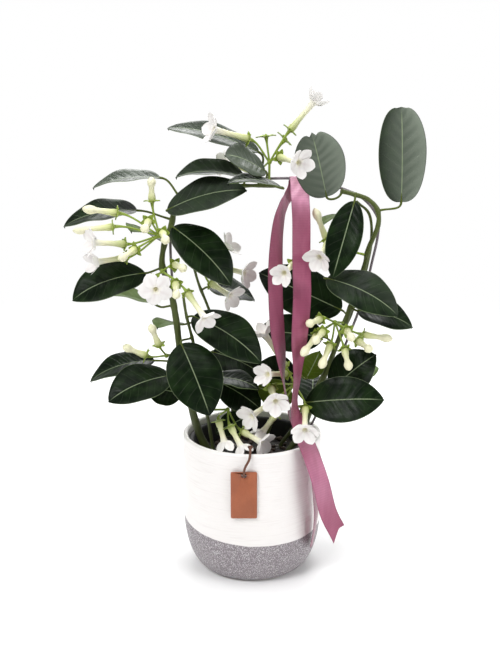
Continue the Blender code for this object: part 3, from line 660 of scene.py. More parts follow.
@dataclass(frozen=True)
class Vine:
    """One stem: its foot and end radius, and its route above the soil."""

    node: str
    foot_radius: float
    tip_radius: float
    steps: int
    path: tuple[Triple, ...]
    foot_depth: float = 84.0

    def curve(self, finer: int = 1) -> tuple[list[Vector], list[float]]:
        """Give the stem's middle line and its radii, with so many times the steps."""
        foot = Vector((self.path[0][0], self.path[0][1], self.foot_depth))
        route = spline([Vector(point) for point in self.path], self.steps * finer)
        curve = [foot] + route
        last = len(curve) - 1
        return curve, [self.foot_radius + (self.tip_radius - self.foot_radius) * i / last for i in range(last + 1)]

    def root(self, place: Vector) -> tuple[Vector, Vector]:
        """Find where a stalk that leads to a place leaves the stem.

        Args:
            place: where the stalk leads.

        Returns:
            The point on the stem's surface, and the stalk's first direction.
        """
        curve, radii = self.curve()
        best = None
        for start, end, radius in zip(curve[1:], curve[2:], radii[1:]):
            along = end - start
            share = min(max((place - start).dot(along) / along.length_squared, 0.1), 0.9)
            foot = start + along * share
            distance = (place - foot).length
            if best is None or distance < best[0]:
                best = (distance, foot, along.normalized(), radius)
        _, foot, axis, radius = best
        away = place - foot
        away = (away - axis * away.dot(axis)).normalized()
        return foot + away * (0.7 * radius), away

    def build(self, joints: list[Vector], material: bpy.types.Material) -> None:
        """Make the stem, swollen where leaves and flowers leave it.

        Args:
            joints: where stalks leave the stem.
            material: its material.
        """
        curve, radii = self.curve(5)
        rng = random.Random(len(self.path) * 7 + int(self.foot_radius * 10))
        for index, point in enumerate(curve):
            swell = sum(math.exp(-((point - joint).length / 3.2) ** 2) for joint in joints)
            radii[index] *= 1 + 0.28 * min(swell, 1.0) + 0.05 * math.sin(index * 0.55) + rng.uniform(-0.02, 0.02)
        mesh = Mesh()
        tube(mesh, curve, radii, 14)
        mesh.piece(f"{self.node}_stem", material, [self.node], "stem")


VINES = {vine.node: vine for vine in (
    Vine("vine_main", 4.2, 1.5, 2, (
        (-44, -10, 120), (-54, -9, 142), (-62, -8, 172), (-69, -8, 200), (-72, -7, 232), (-75, -6, 260),
        (-80, -6, 289), (-87, -6, 310), (-84, -6, 332), (-77, -6, 350), (-73, -6, 368), (-63, -6, 380),
        (-35, -6, 385), (-5, -6, 386), (22, -6, 386))),
    Vine("vine_left", 1.9, 1.3, 3, (
        (-38, -20, 120), (-42, -18, 146), (-48, -15, 180), (-54, -13, 212), (-58, -12, 236),
        (-64, -12, 262), (-67, -12, 284))),
    Vine("vine_right", 2.9, 2.0, 2, (
        (36, -8, 120), (50, -8, 142), (63, -8, 176), (82, -7, 228), (97, -6, 272), (108, -6, 308),
        (112, -6, 327), (120, -6, 348), (119, -6, 363), (110, -6, 373), (96, -6, 378), (84, -6, 381))),
    Vine("vine_back", 2.0, 1.3, 2, (
        (30, 14, 120), (50, 13, 150), (72, 12, 196), (90, 10, 238), (104, 8, 276), (112, 7, 306),
        (116, 7, 334), (113, 7, 358), (100, 7, 370))),
    Vine("vine_centre", 2.0, 1.2, 3, (
        (-12, 10, 120), (-18, 12, 150), (-26, 14, 188), (-33, 15, 224), (-42, 16, 258), (-54, 17, 290),
        (-60, 17, 316))),
    Vine("vine_low", 2.0, 1.3, 3, (
        (10, 0, 120), (18, 0, 144), (28, 0, 168), (40, 2, 190), (52, 5, 212), (60, 9, 236))),
)}


@dataclass(frozen=True)
class Leaf:
    """One leaf, from the nearest point of its vine to its own base and on to its tip."""

    node: str
    vine: str
    base: Triple
    tip: Triple
    width: float
    face: Triple
    arch: float
    fold: float
    droop: float
    blunt: float = 0.0
    young: float = 0.0
    notch: float = 0.0
    # sheen: a painted sheen amount that overrides the height rule; the next field paints one half of the blade lighter
    # and the other darker
    sheen: float | None = None
    sheen_split: float = 0.0
    stations: int = 30
    across: int = 14

    def line(self, share: float) -> Vector:
        """The midrib at a share of the leaf's length."""
        base, tip, face = Vector(self.base), Vector(self.tip), Vector(self.face).normalized()
        rise = self.arch * 4 * share * (1 - share) - self.droop * share ** 4
        return base + (tip - base) * share + face * (rise * (tip - base).length)

    def half_width(self, share: float) -> float:
        """Half the leaf's width at a share of its length: a blunt leaf is oblong, others end in a point."""
        point = 0.45 * (1 - self.blunt) * share ** 5
        outline = (4 * share * (1 - share)) ** (0.55 - 0.17 * self.blunt) * (1 - point)
        return max(outline * self.width / 2, 0.35)

    def root(self) -> tuple[Vector, Vector]:
        """Where the leaf's stalk leaves the vine, and its first direction."""
        return VINES[self.vine].root(Vector(self.base))

    def build(self, material: bpy.types.Material) -> None:
        """Make the leaf as a curved blade on a round stalk."""
        rng = random.Random(int(self.node[-2:]) * 31)
        mesh = Mesh()
        phase, waves = rng.uniform(0, TAU), rng.uniform(1.5, 2.5)
        grid = [2 * j / self.across - 1 for j in range(self.across + 1)]
        grid = [math.copysign(abs(v) ** 0.85, v) for v in grid]
        # painted sheen: leaves higher up are washed paler grey-green in place of reflected light, unless an amount is
        # given; one half of the blade may be painted lighter than the other
        high = (self.line(0.5).z - 372) / 40
        tone = 0.65 * min(max(high, 0.0), 1.0) * rng.uniform(0.75, 1.0)
        if self.sheen is not None:
            tone = self.sheen
        tones = [min(max(tone * (1 + self.sheen_split * v), 0.0), 1.0) for v in grid]
        length = (Vector(self.tip) - Vector(self.base)).length
        shares = [0.5 - 0.5 * math.cos(math.pi * i / self.stations) for i in range(self.stations + 1)]
        shares = [min(max(share, 0.004), 0.997) for share in shares]
        middle = [self.line(share) for share in shares]
        beyond = tangents(middle)[-1]
        face = Vector(self.face)
        upper, lower = [], []
        for share, centre, axis in zip(shares, middle, tangents(middle)):
            up = (face - axis * face.dot(axis)).normalized()
            side = axis.cross(up)
            half = self.half_width(share)
            top, bottom = [], []
            for v in grid:
                reach = abs(v)
                lift = self.fold * half * reach ** 1.3 - 0.05 * half * max(0.0, reach - 0.75) / 0.25
                lift += 0.9 * math.sin(waves * TAU * share + phase + (1.4 if v > 0 else 0.0)) * reach ** 2 * (half / 22)
                groove = math.exp(-((v * half) / 0.9) ** 2)
                back = self.notch * length * share ** 7 * math.exp(-((v * half) / 4.5) ** 2)
                spot = centre + side * (v * half) + up * lift - axis * back
                thick = 0.24 + 0.16 * (1 - reach ** 2)
                top.append(spot + up * (thick - 0.32 * groove * (1 - share)))
                bottom.append(spot - up * (thick + 0.55 * groove * (1 - 0.8 * share)))
            marks = {"across": grid, "along": share, "half": half, "tone": tones, "young": self.young}
            upper.append(mesh.row(top, **marks))
            lower.append(mesh.row(bottom, under=1.0, **marks))
        mesh.close(upper, lower)
        if not self.notch:
            self._point(mesh, middle[-1], beyond, face, tone)
        self._stalk(mesh, face)
        mesh.piece(f"{self.node}_blade", material, [self.node], "leaf")

    def _point(self, mesh: Mesh, start: Vector, axis: Vector, face: Vector, tone: float) -> None:
        """Add the small hooked point at the blade's end."""
        down = -(face - axis * face.dot(axis)).normalized()
        curve = bezier(start - axis * 2.5, start + axis * 0.6, start + axis * 2.4 + down * 0.3,
                       start + axis * 2.9 + down * 2.6, 7)
        radii = [0.60, 0.95, 1.05, 0.95, 0.78, 0.58, 0.38, 0.14]
        tube(mesh, curve, radii, 8, across=0.9, half=20.0, along=1.0, tone=tone)

    def _stalk(self, mesh: Mesh, face: Vector) -> None:
        """Add the stalk, which runs on as the midrib."""
        root, away = self.root()
        base = Vector(self.base)
        first = (self.line(0.05) - base).normalized()
        reach = (base - root).length
        curve = bezier(root, root + away * (0.45 * reach), base - first * (0.35 * reach), base, 12)
        under = [self.line(share) - face.normalized() * 0.35 for share in (0.03, 0.07, 0.12)]
        radii = [1.35, 1.2] + [1.05] * 9 + [1.15, 1.2] + [0.95, 0.7, 0.4]
        tube(mesh, curve + under, radii, 10, stalk=1.0)


LEAVES = (
    Leaf("leaf_01", "vine_right", (142, -2, 370), (140, 4, 459), 45, (0, -1, 0.15), 0.05, 0.12, 0.03, 1.0, notch=0.03, sheen=0.55,
         sheen_split=0.85),
    Leaf("leaf_02", "vine_right", (70, -10, 376), (54, -26, 436), 48, (0, -0.95, 0.25), 0.05, 0.12, 0.03, 0.7,
         notch=0.09, sheen=0.70, sheen_split=0.45),
    Leaf("leaf_03", "vine_main", (6, -3, 417), (-81, 6, 442), 40, (-0.3, -0.3, 0.9), 0.06, 0.15, 0.04, sheen=0.14),
    Leaf("leaf_04", "vine_main", (12, -16, 400), (-25, -36, 417), 42, (-0.15, -0.6, 0.75), 0.08, 0.12, 0.05, sheen=0.40),
    Leaf("leaf_05", "vine_main", (-8, -14, 395), (-71, -18, 398), 38, (0, -0.35, 0.94), 0.06, 0.35, 0.06, sheen=0.08),
    Leaf("leaf_06", "vine_main", (-80, -16, 364), (-6, -38, 386), 40, (-0.1, -0.7, 0.7), 0.08, 0.15, 0.04),
    Leaf("leaf_07", "vine_main", (-88, 2, 393), (-151, -4, 387), 42, (-0.05, -0.2, 0.95), 0.05, 0.20, 0.05, sheen=0.25),
    Leaf("leaf_08", "vine_main", (-112, 12, 361), (-183, 6, 350), 46, (-0.1, -0.35, 0.9), 0.06, 0.20, 0.06),
    Leaf("leaf_09", "vine_main", (-75, -15, 348), (-19, -38, 298), 45, (0.35, -0.8, 0.5), 0.08, 0.15, 0.05),
    Leaf("leaf_10", "vine_main", (-103, -10, 303), (-170, -36, 284), 45, (-0.2, -0.7, 0.68), 0.10, 0.15, 0.06),
    Leaf("leaf_11", "vine_main", (-92, 2, 268), (-152, 22, 279), 40, (0.1, 0.5, 0.85), 0.05, 0.20, 0.04),
    Leaf("leaf_12", "vine_centre", (-44, 20, 284), (2, 26, 273), 42, (0, -0.35, 0.95), 0.06, 0.15, 0.08),
    Leaf("leaf_13", "vine_left", (-57, -17, 262), (9, -44, 225), 47, (0.25, -0.7, 0.66), 0.10, 0.12, 0.05),
    Leaf("leaf_14", "vine_left", (-68, -30, 238), (-40, -60, 177), 53, (0.1, -0.88, 0.45), 0.10, 0.10, 0.05),
    Leaf("leaf_15", "vine_main", (-80, -18, 203), (-137, -50, 188), 46, (-0.15, -0.65, 0.72), 0.10, 0.15, 0.05),
    Leaf("leaf_16", "vine_main", (-98, 4, 212), (-162, -4, 196), 42, (-0.2, -0.3, 0.9), 0.08, 0.18, 0.05),
    Leaf("leaf_17", "vine_main", (-72, 6, 177), (-106, -2, 184), 36, (-0.2, -0.7, 0.65), 0.08, 0.15, 0.04),
    Leaf("leaf_18", "vine_centre", (-40, 7, 220), (12, -3, 199), 44, (0.2, -0.6, 0.77), 0.08, 0.15, 0.05),
    Leaf("leaf_19", "vine_left", (-36, -25, 203), (6, -35, 196), 30, (0.1, -0.3, 0.95), 0.08, 0.15, 0.05),
    Leaf("leaf_20", "vine_centre", (-32, 0, 190), (8, -14, 168), 40, (0.2, -0.75, 0.6), 0.08, 0.12, 0.04),
    Leaf("leaf_21", "vine_centre", (-4, -22, 162), (-36, -27, 147), 24, (-0.1, -0.85, 0.5), 0.08, 0.15, 0.04),
    Leaf("leaf_22", "vine_low", (40, -6, 173), (5, -10, 189), 30, (0, -0.9, 0.4), 0.06, 0.12, 0.03, young=0.8),
    Leaf("leaf_23", "vine_right", (96, -14, 372), (75, -36, 303), 33, (-0.1, -0.95, 0.1), 0.05, 0.20, 0.03),
    Leaf("leaf_24", "vine_right", (71, -22, 300), (136, -47, 271), 46, (0.2, -0.7, 0.68), 0.10, 0.12, 0.04, sheen=0.06, sheen_split=-0.9),
    Leaf("leaf_25", "vine_right", (102, -14, 267), (155, -20, 254), 42, (0.2, -0.5, 0.85), 0.08, 0.15, 0.05),
    Leaf("leaf_26", "vine_back", (90, 22, 260), (7, 24, 298), 50, (-0.1, -0.95, 0.3), 0.05, 0.10, 0.04),
    Leaf("leaf_27", "vine_back", (72, 22, 232), (6, 26, 238), 40, (0, -0.9, 0.4), 0.06, 0.12, 0.04),
    Leaf("leaf_28", "vine_right", (78, -14, 186), (119, -24, 226), 45, (-0.3, -0.8, 0.5), 0.08, 0.15, 0.04),
    Leaf("leaf_29", "vine_right", (52, -27, 178), (125, -50, 189), 46, (0, -0.85, 0.5), 0.08, 0.12, 0.05),
    Leaf("leaf_30", "vine_low", (54, -4, 196), (66, -14, 226), 24, (0, -1, 0.1), 0.05, 0.10, 0.03, young=0.9),
    Leaf("leaf_31", "vine_main", (-86, 8, 330), (-124, 52, 338), 44, (-0.2, 0.6, 0.75), 0.10, 0.15, 0.05),
    Leaf("leaf_32", "vine_back", (91, 14, 357), (69, 50, 343), 28, (-0.3, 0.3, 0.9), 0.08, 0.15, 0.05),
    Leaf("leaf_33", "vine_centre", (-74, 24, 245), (-100, 52, 236), 32, (-0.3, 0.7, 0.6), 0.10, 0.15, 0.05),
    Leaf("leaf_34", "vine_back", (94, 20, 196), (128, 50, 184), 42, (0.3, 0.6, 0.7), 0.10, 0.15, 0.05),
    Leaf("leaf_35", "vine_centre", (-12, 24, 158), (-34, 66, 176), 44, (-0.2, 0.5, 0.85), 0.10, 0.15, 0.05),
    Leaf("leaf_36", "vine_back", (62, 24, 160), (66, 68, 180), 44, (0.1, 0.5, 0.85), 0.10, 0.15, 0.05),
    Leaf("leaf_37", "vine_main", (27, -29, 386), (-22, -55, 394), 26, (-0.1, -0.35, 0.93), 0.08, 0.15, 0.05,
         sheen=0.02),
    Leaf("leaf_38", "vine_low", (42, 12, 192), (6, 10, 206), 36, (0, -1, 0.1), 0.05, 0.10, 0.04),
)


@dataclass(frozen=True)
class Petals:
    """A star's reach, half its petals' width, and how far the points bend back."""

    point: float
    half_width: float
    reflex: float


PETALS = {
    Shape.OPEN: Petals(16.2, 6.9, 2.5),
    Shape.CUP: Petals(14.0, 6.1, -6.5),
    Shape.BELL: Petals(11.2, 5.1, -9.0),
}


@dataclass(frozen=True)
class Bloom:
    """One flower, bud or empty calyx on its stalk."""

    shape: Shape
    calyx: Triple
    tip: Triple
    sides: int = 20
    throat: float = 4.0
    sepal_length: float = 7.2
    sepal_half_width: float = 2.7

    def build(self, hub: Vector, stalks: Mesh, blooms: Mesh, rng: random.Random) -> None:
        """Add the flower to its cluster's two meshes.

        Args:
            hub: the middle of the cluster.
            stalks: the green mesh.
            blooms: the white mesh.
            rng: the cluster's random draws.
        """
        calyx, tip = Vector(self.calyx), Vector(self.tip)
        axis = (tip - calyx).normalized()
        outward = (calyx - hub).normalized()
        reach = (calyx - hub).length
        coarse = bezier(hub, hub + outward * (0.3 * reach), calyx - axis * (0.3 * reach), calyx, 2)
        side = sides(coarse)[-1]
        side = (side - axis * side.dot(axis)).normalized()
        fine = bezier(hub, hub + outward * (0.3 * reach), calyx - axis * (0.3 * reach), calyx, 12)
        radii = [0.95] * 9 + [1.0, 1.15, 1.5, 1.9]
        tube(stalks, fine, radii, 10)
        self._sepals(stalks, calyx, axis, side, rng)
        if self.shape is Shape.EMPTY:
            tube(stalks, [calyx, calyx + axis * 2.2, calyx + axis * 3.6], [1.9, 1.6, 0.9], 10)
        elif self.shape is Shape.BUD:
            self._bud(blooms, calyx, axis, side, (tip - calyx).length)
        else:
            self._flower(blooms, calyx, tip, axis, side, rng)

    def _sepals(self, mesh: Mesh, calyx: Vector, axis: Vector, side: Vector, rng: random.Random) -> None:
        """Add the calyx's five small spreading leaves."""
        other = axis.cross(side)
        size = 1.35 if self.shape is Shape.EMPTY else 1.0
        for index in range(5):
            angle = TAU * (index + 0.5) / 5 + rng.uniform(-0.2, 0.2)
            out = side * math.cos(angle) + other * math.sin(angle)
            across = axis.cross(out)
            spread = rng.uniform(0.45, 1.15)
            top, bottom = [], []
            for i in range(7):
                share = i / 6
                bend = spread * share
                forward = 0.3 + 3.6 * share - 2.6 * bend * share
                outward = 1.3 + size * self.sepal_length * share * (0.60 + 0.30 * bend)
                centre = calyx + axis * forward + out * outward
                half = size * self.sepal_half_width * math.sin(math.pi * (0.18 + 0.80 * share)) ** 0.8
                spots = [centre + across * (half * v) + axis * (0.5 * abs(v)) for v in (-1, -0.5, 0, 0.5, 1)]
                lift = axis * 0.28
                top.append(mesh.row([spot + lift for spot in spots]))
                bottom.append(mesh.row([spot - lift for spot in spots]))
            mesh.close(top, bottom)

    def _lathe(self, mesh: Mesh, calyx: Vector, axis: Vector, side: Vector,
               profile: list[tuple[float, float, dict]], flute: float = 0.0) -> list[list[int]]:
        """Turn a profile of (distance, radius, marks) about the flower's axis."""
        other = axis.cross(side)
        rows = []
        for distance, radius, marks in profile:
            spots = []
            for j in range(self.sides):
                angle = TAU * j / self.sides
                wide = radius * (1 + flute * math.cos(5 * angle + 0.28 * distance))
                spots.append(calyx + axis * distance + side * (wide * math.cos(angle)) + other * (wide * math.sin(angle)))
            rows.append(mesh.row(spots, **marks))
        for first, second in zip(rows, rows[1:]):
            mesh.bridge(first, second)
        return rows

    def _bud(self, mesh: Mesh, calyx: Vector, axis: Vector, side: Vector, length: float) -> None:
        """Add a bud: a tube with a swollen base and an egg-shaped head."""
        outline = [(0.3, 2.4), (1.5, 3.1), (3.5, 3.5), (6.0, 3.4), (8.5, 3.0), (0.38 * length, 2.7),
                   (0.50 * length, 2.4), (0.60 * length, 2.6), (0.67 * length, 3.3), (0.73 * length, 3.9),
                   (0.79 * length, 4.15), (0.85 * length, 3.95), (0.91 * length, 3.2), (0.955 * length, 2.1),
                   (0.985 * length, 1.0)]
        outline = sorted(outline)
        profile = [(d, r, {"rise": 1.6 * d / length, "bud": 1.0}) for d, r in outline]
        rows = self._lathe(mesh, calyx, axis, side, profile, 0.055)
        mesh.fan(rows[0], calyx, rise=0.0, bud=1.0)
        mesh.fan(rows[-1], calyx + axis * length, rise=1.5, bud=1.0)

    def _flower(self, mesh: Mesh, calyx: Vector, tip: Vector, axis: Vector, side: Vector,
                rng: random.Random) -> None:
        """Add an open flower: a hollow tube and five broad waxy petals."""
        length = (tip - calyx).length
        outline = [(0.3, 2.4), (1.5, 3.2), (3.5, 3.6), (6.5, 3.5), (9.5, 3.0), (0.40 * length, 2.55),
                   (0.60 * length, 2.5), (0.80 * length, 2.8), (length - 2.0, 3.3), (length - 0.6, self.throat)]
        outline = sorted(outline)
        profile = [(d, r, {"rise": min(d / length, 1.0)}) for d, r in outline]
        profile += [(length - 0.1, self.throat - 0.3, {"rise": 1.0}), (length - 0.8, self.throat - 1.0, {"rise": 1.0}),
                    (length - 2.2, 2.0, {"rise": 1.0, "throat": 0.6}), (length - 3.6, 1.2, {"rise": 0.9, "throat": 1.0})]
        rows = self._lathe(mesh, calyx, axis, side, profile)
        mesh.fan(rows[0], calyx, rise=0.0)
        mesh.fan(rows[-1], calyx + axis * (length - 3.9), rise=0.9, throat=1.0)
        petals = PETALS[self.shape]
        for index in range(5):
            angle = TAU * (index + 0.5) / 5 + rng.uniform(-0.05, 0.05)
            self._petal(mesh, petals, tip, axis, side, angle, rng)

    def _petal(self, mesh: Mesh, petals: Petals, tip: Vector, axis: Vector, side: Vector, angle: float,
               rng: random.Random) -> None:
        """Add one petal: a thick oval blade, arched along and across."""
        other = axis.cross(side)
        out = side * math.cos(angle) + other * math.sin(angle)
        across = axis.cross(out)
        start = self.throat - 1.3
        reach = petals.point - start + rng.uniform(-0.4, 0.6)
        twist = rng.uniform(0.05, 0.16)
        curl = rng.uniform(0.8, 1.6)
        top, bottom = [], []
        steps = 11
        grid = [-1, -0.72, -0.38, 0, 0.38, 0.72, 1]
        for i in range(steps + 1):
            share = i / steps
            swell = 0.48 + 0.52 * math.sin(0.5 * math.pi * min(share / 0.52, 1.0))
            taper = (1 - max(0.0, (share - 0.52) / 0.48) ** 2.2) ** 0.8
            half = max(petals.half_width * swell * taper, 0.25)
            back = petals.reflex * share ** 1.6 + 0.8 * (1 - share)
            spots, crease = [], []
            for v in grid:
                turn = twist * v * half
                hollow = 0.10 * half * v * v * (1 if petals.reflex < 0 else -0.6)
                spots.append(tip + out * (start + reach * share) + across * (half * v)
                             + axis * (hollow - back + turn - 0.25 * curl * share ** 6))
                # crease marks the petal's middle groove for its bump and for its painted shade
                crease.append(max(0.0, 1 - abs(v) * 3.5) * (1 - share))
            thick = axis * (0.42 * (1 - 0.55 * share))
            marks = {"rise": 1.0 + 0.6 * share, "crease": crease}
            top.append(mesh.row([spot + thick for spot in spots], **marks))
            bottom.append(mesh.row([spot - thick for spot in spots], **marks))
        mesh.close(top, bottom)


@dataclass(frozen=True)
class Umbel:
    """A cluster of flowers on one stalk from a vine."""

    node: str
    vine: str
    hub: Triple
    blooms: tuple[Bloom, ...]

    def root(self) -> tuple[Vector, Vector]:
        """Where the cluster's stalk leaves the vine, and its first direction."""
        return VINES[self.vine].root(Vector(self.hub))

    def build(self, green: bpy.types.Material, white: bpy.types.Material) -> None:
        """Make the cluster as a green piece and a white one.

        Args:
            green: the material of the stalks.
            white: the material of the flowers.
        """
        rng = random.Random(len(self.node) * 101 + int(self.hub[2]))
        hub = Vector(self.hub)
        root, away = self.root()
        reach = (hub - root).length
        stalks, blooms = Mesh(), Mesh()
        curve = bezier(root, root + away * (0.4 * reach), hub - (hub - root) * 0.2, hub, 12)
        tube(stalks, curve, [1.5, 1.3] + [1.15] * 9 + [1.5, 1.9], 10)
        knob = [hub + away * d for d in (-2.2, -1.4, 0.0, 1.4, 2.2)]
        tube(stalks, knob, [0.9, 1.9, 2.4, 1.9, 0.9], 12)
        for bloom in self.blooms:
            bloom.build(hub, stalks, blooms, rng)
        stalks.piece(f"{self.node}_stalks", green, [self.node], "stem")
        blooms.piece(f"{self.node}_flowers", white, [self.node], "flower")


OPEN, CUP, BELL, BUD, EMPTY = Shape.OPEN, Shape.CUP, Shape.BELL, Shape.BUD, Shape.EMPTY
UMBELS = (
    Umbel("umbel_top", "vine_main", (16, -8, 408), (
        Bloom(BELL, (34, -10, 436), (57, -8, 463)), Bloom(CUP, (24, -16, 413), (42, -43, 409)),
        Bloom(CUP, (-2, -17, 429), (-35, -32, 438)), Bloom(CUP, (0, 22, 399), (-26, 34, 404)),
        Bloom(EMPTY, (13, -6, 430), (12, -6, 438)), Bloom(EMPTY, (30, 4, 427), (37, 5, 434)))),
    Umbel("umbel_left_high", "vine_main", (-88, -15, 340), (
        Bloom(BUD, (-94, -16, 371), (-94, -18, 395)), Bloom(BUD, (-124, -24, 362), (-157, -32, 367)),
        Bloom(BUD, (-128, -28, 350), (-166, -36, 347)), Bloom(CUP, (-118, -24, 333), (-146, -42, 337)),
        Bloom(BELL, (-118, -18, 320), (-145, -36, 318)), Bloom(BUD, (-108, -32, 330), (-121, -54, 323)),
        Bloom(BUD, (-96, -30, 356), (-98, -54, 349)), Bloom(BUD, (-84, -28, 345), (-78, -54, 339)))),
    Umbel("umbel_left_mid", "vine_main", (-86, -16, 306), (
        Bloom(BUD, (-74, -24, 314), (-62, -46, 313)), Bloom(OPEN, (-92, -30, 301), (-88, -60, 296)),
        Bloom(BUD, (-72, -30, 298), (-70, -56, 288)), Bloom(CUP, (-62, -34, 290), (-44, -52, 268)))),
    Umbel("umbel_back", "vine_centre", (-50, 10, 306), (
        Bloom(CUP, (-40, 10, 314), (-23, 6, 327)), Bloom(CUP, (-28, 4, 306), (-7, -8, 303)),
        Bloom(CUP, (-42, 3, 292), (-21, -11, 281)))),
    Umbel("umbel_left_low", "vine_main", (-84, -14, 222), (
        Bloom(BUD, (-102, -16, 222), (-126, -20, 233)), Bloom(BUD, (-90, -18, 232), (-98, -24, 256)))),
    Umbel("umbel_right_high", "vine_right", (82, -4, 326), (
        Bloom(BUD, (72, -4, 333), (59, -4, 365)), Bloom(CUP, (73, -15, 335), (62, -34, 322)),
        Bloom(BELL, (40, -14, 313), (29, -40, 308)))),
    Umbel("umbel_right_mid", "vine_right", (80, -16, 256), (
        Bloom(BUD, (67, -26, 262), (51, -40, 259)), Bloom(BUD, (68, -30, 251), (57, -54, 245)),
        Bloom(BUD, (63, -26, 247), (46, -49, 231)), Bloom(BUD, (75, -32, 239), (64, -50, 219)),
        Bloom(BUD, (88, -28, 234), (92, -46, 216)), Bloom(BUD, (90, -32, 252), (92, -60, 250)),
        Bloom(BUD, (99, -34, 243), (112, -50, 236)), Bloom(BUD, (105, -24, 246), (134, -32, 243)))),
    Umbel("umbel_low", "vine_low", (42, -10, 192), (
        Bloom(CUP, (18, -30, 195), (22, -55, 188)), Bloom(CUP, (51, -39, 178), (49, -68, 164)),
        Bloom(BELL, (34, -18, 205), (14, -42, 211)), Bloom(CUP, (21, -20, 178), (-1, -42, 169)),
        Bloom(BELL, (34, 0, 206), (12, -10, 243)),
        Bloom(BELL, (24, -23, 166), (10, -29, 148)))),
    Umbel("umbel_pot", "vine_left", (-24, -30, 172), (
        Bloom(BELL, (-33, -38, 165), (-27, -43, 143)), Bloom(BELL, (-22, -40, 160), (-11, -47, 140)),
        Bloom(CUP, (-11, -37, 153), (9, -50, 145)))),
)


@dataclass(frozen=True)
class Pot:
    """The cover pot, turned with fine rings, and the grow pot inside it."""

    height: float = 140.0
    radius: float = 70.0
    belly: float = 70.5
    foot: float = 48.0
    curve_height: float = 59.0
    wall: float = 5.0
    floor: float = 6.0
    hollow: float = 44.5
    hollow_curve: float = 45.0
    glaze_line: float = 46.2
    ring_pitch: float = 2.3
    ring_depth: float = 0.16
    sides: int = 128

    def outline(self) -> list[tuple[float, float]]:
        """Give the pot's profile, from its foot round the lip to its floor."""
        belly = self.belly - self.foot
        arc = [math.radians(90 * i / 20) for i in range(21)]
        outside = [(self.foot + belly * math.sin(a), self.curve_height * (1 - math.cos(a))) for a in arc]
        lip = self.wall / 2
        top = self.height - lip
        heights = [self.curve_height + 0.55 * i for i in range(1, int((top - self.curve_height) / 0.55))]
        share = [(h - self.curve_height) / (top - self.curve_height) for h in heights]
        walls = [(self.belly + (self.radius - self.belly) * s - self._ring(h), h) for h, s in zip(heights, share)]
        rim = [(self.radius - lip + lip * math.cos(math.radians(a)), top + lip * math.sin(math.radians(a)))
               for a in range(0, 181, 15)]
        inner = self.radius - self.wall
        widening = inner - self.hollow
        inside = [(self.hollow + widening * math.sin(a), self.floor + self.hollow_curve * (1 - math.cos(a)))
                  for a in reversed(arc)]
        return outside + walls + rim + inside

    def _ring(self, height: float) -> float:
        """The depth of the turned rings at a height, only above the glaze line."""
        if height < self.glaze_line + 1 or height > self.height - 6:
            return 0.0
        drift = height + 0.35 * math.sin(height * 0.9)
        return self.ring_depth * (0.5 - 0.5 * math.cos(TAU * drift / self.ring_pitch))

    def build(self, glaze: bpy.types.Material, plastic: bpy.types.Material) -> None:
        """Make both pots."""
        turn("pot_turned", self.outline(), (0.0, self.floor), self.sides, glaze, "pot", "pot_glaze")
        base, top = 6.35, 134.0
        grow = [(44.0, base), (60.0, top - 5.0), (62.4, top - 4.6), (63.4, top - 3.6), (63.5, top - 2.0),
                (63.2, top - 0.7), (61.0, top), (59.6, top - 0.5), (58.9, top - 1.8), (58.8, top - 5.0), (42.8, base + 1.2)]
        turn("grow_pot_moulded", grow, (base, base + 1.2), 96, plastic, "grow_pot", "grow_pot_plastic")


def turn(name: str, profile: list[tuple[float, float]], poles: tuple[float, float], count: int,
         material: bpy.types.Material, node: str, slot: str) -> None:
    """Turn a profile about the pot's axis and close it at both poles.

    Args:
        name: the piece's name.
        profile: its (radius, height) points.
        poles: the heights at which the axis is met.
        count: how many sides it has.
        material: its material.
        node: the solid that it stands for.
        slot: passed on to the piece, which does not use it.
    """
    mesh = Mesh()
    up, side = Vector((0, 0, 1)), Vector((1, 0, 0))
    rows = [mesh.row(ring(Vector((0, 0, height)), up, side, radius, count)) for radius, height in profile]
    for first, second in zip(rows, rows[1:]):
        mesh.bridge(first, second)
    mesh.fan(rows[0], Vector((0, 0, poles[0])))
    mesh.fan(rows[-1], Vector((0, 0, poles[1])))
    mesh.piece(name, material, [node], slot)


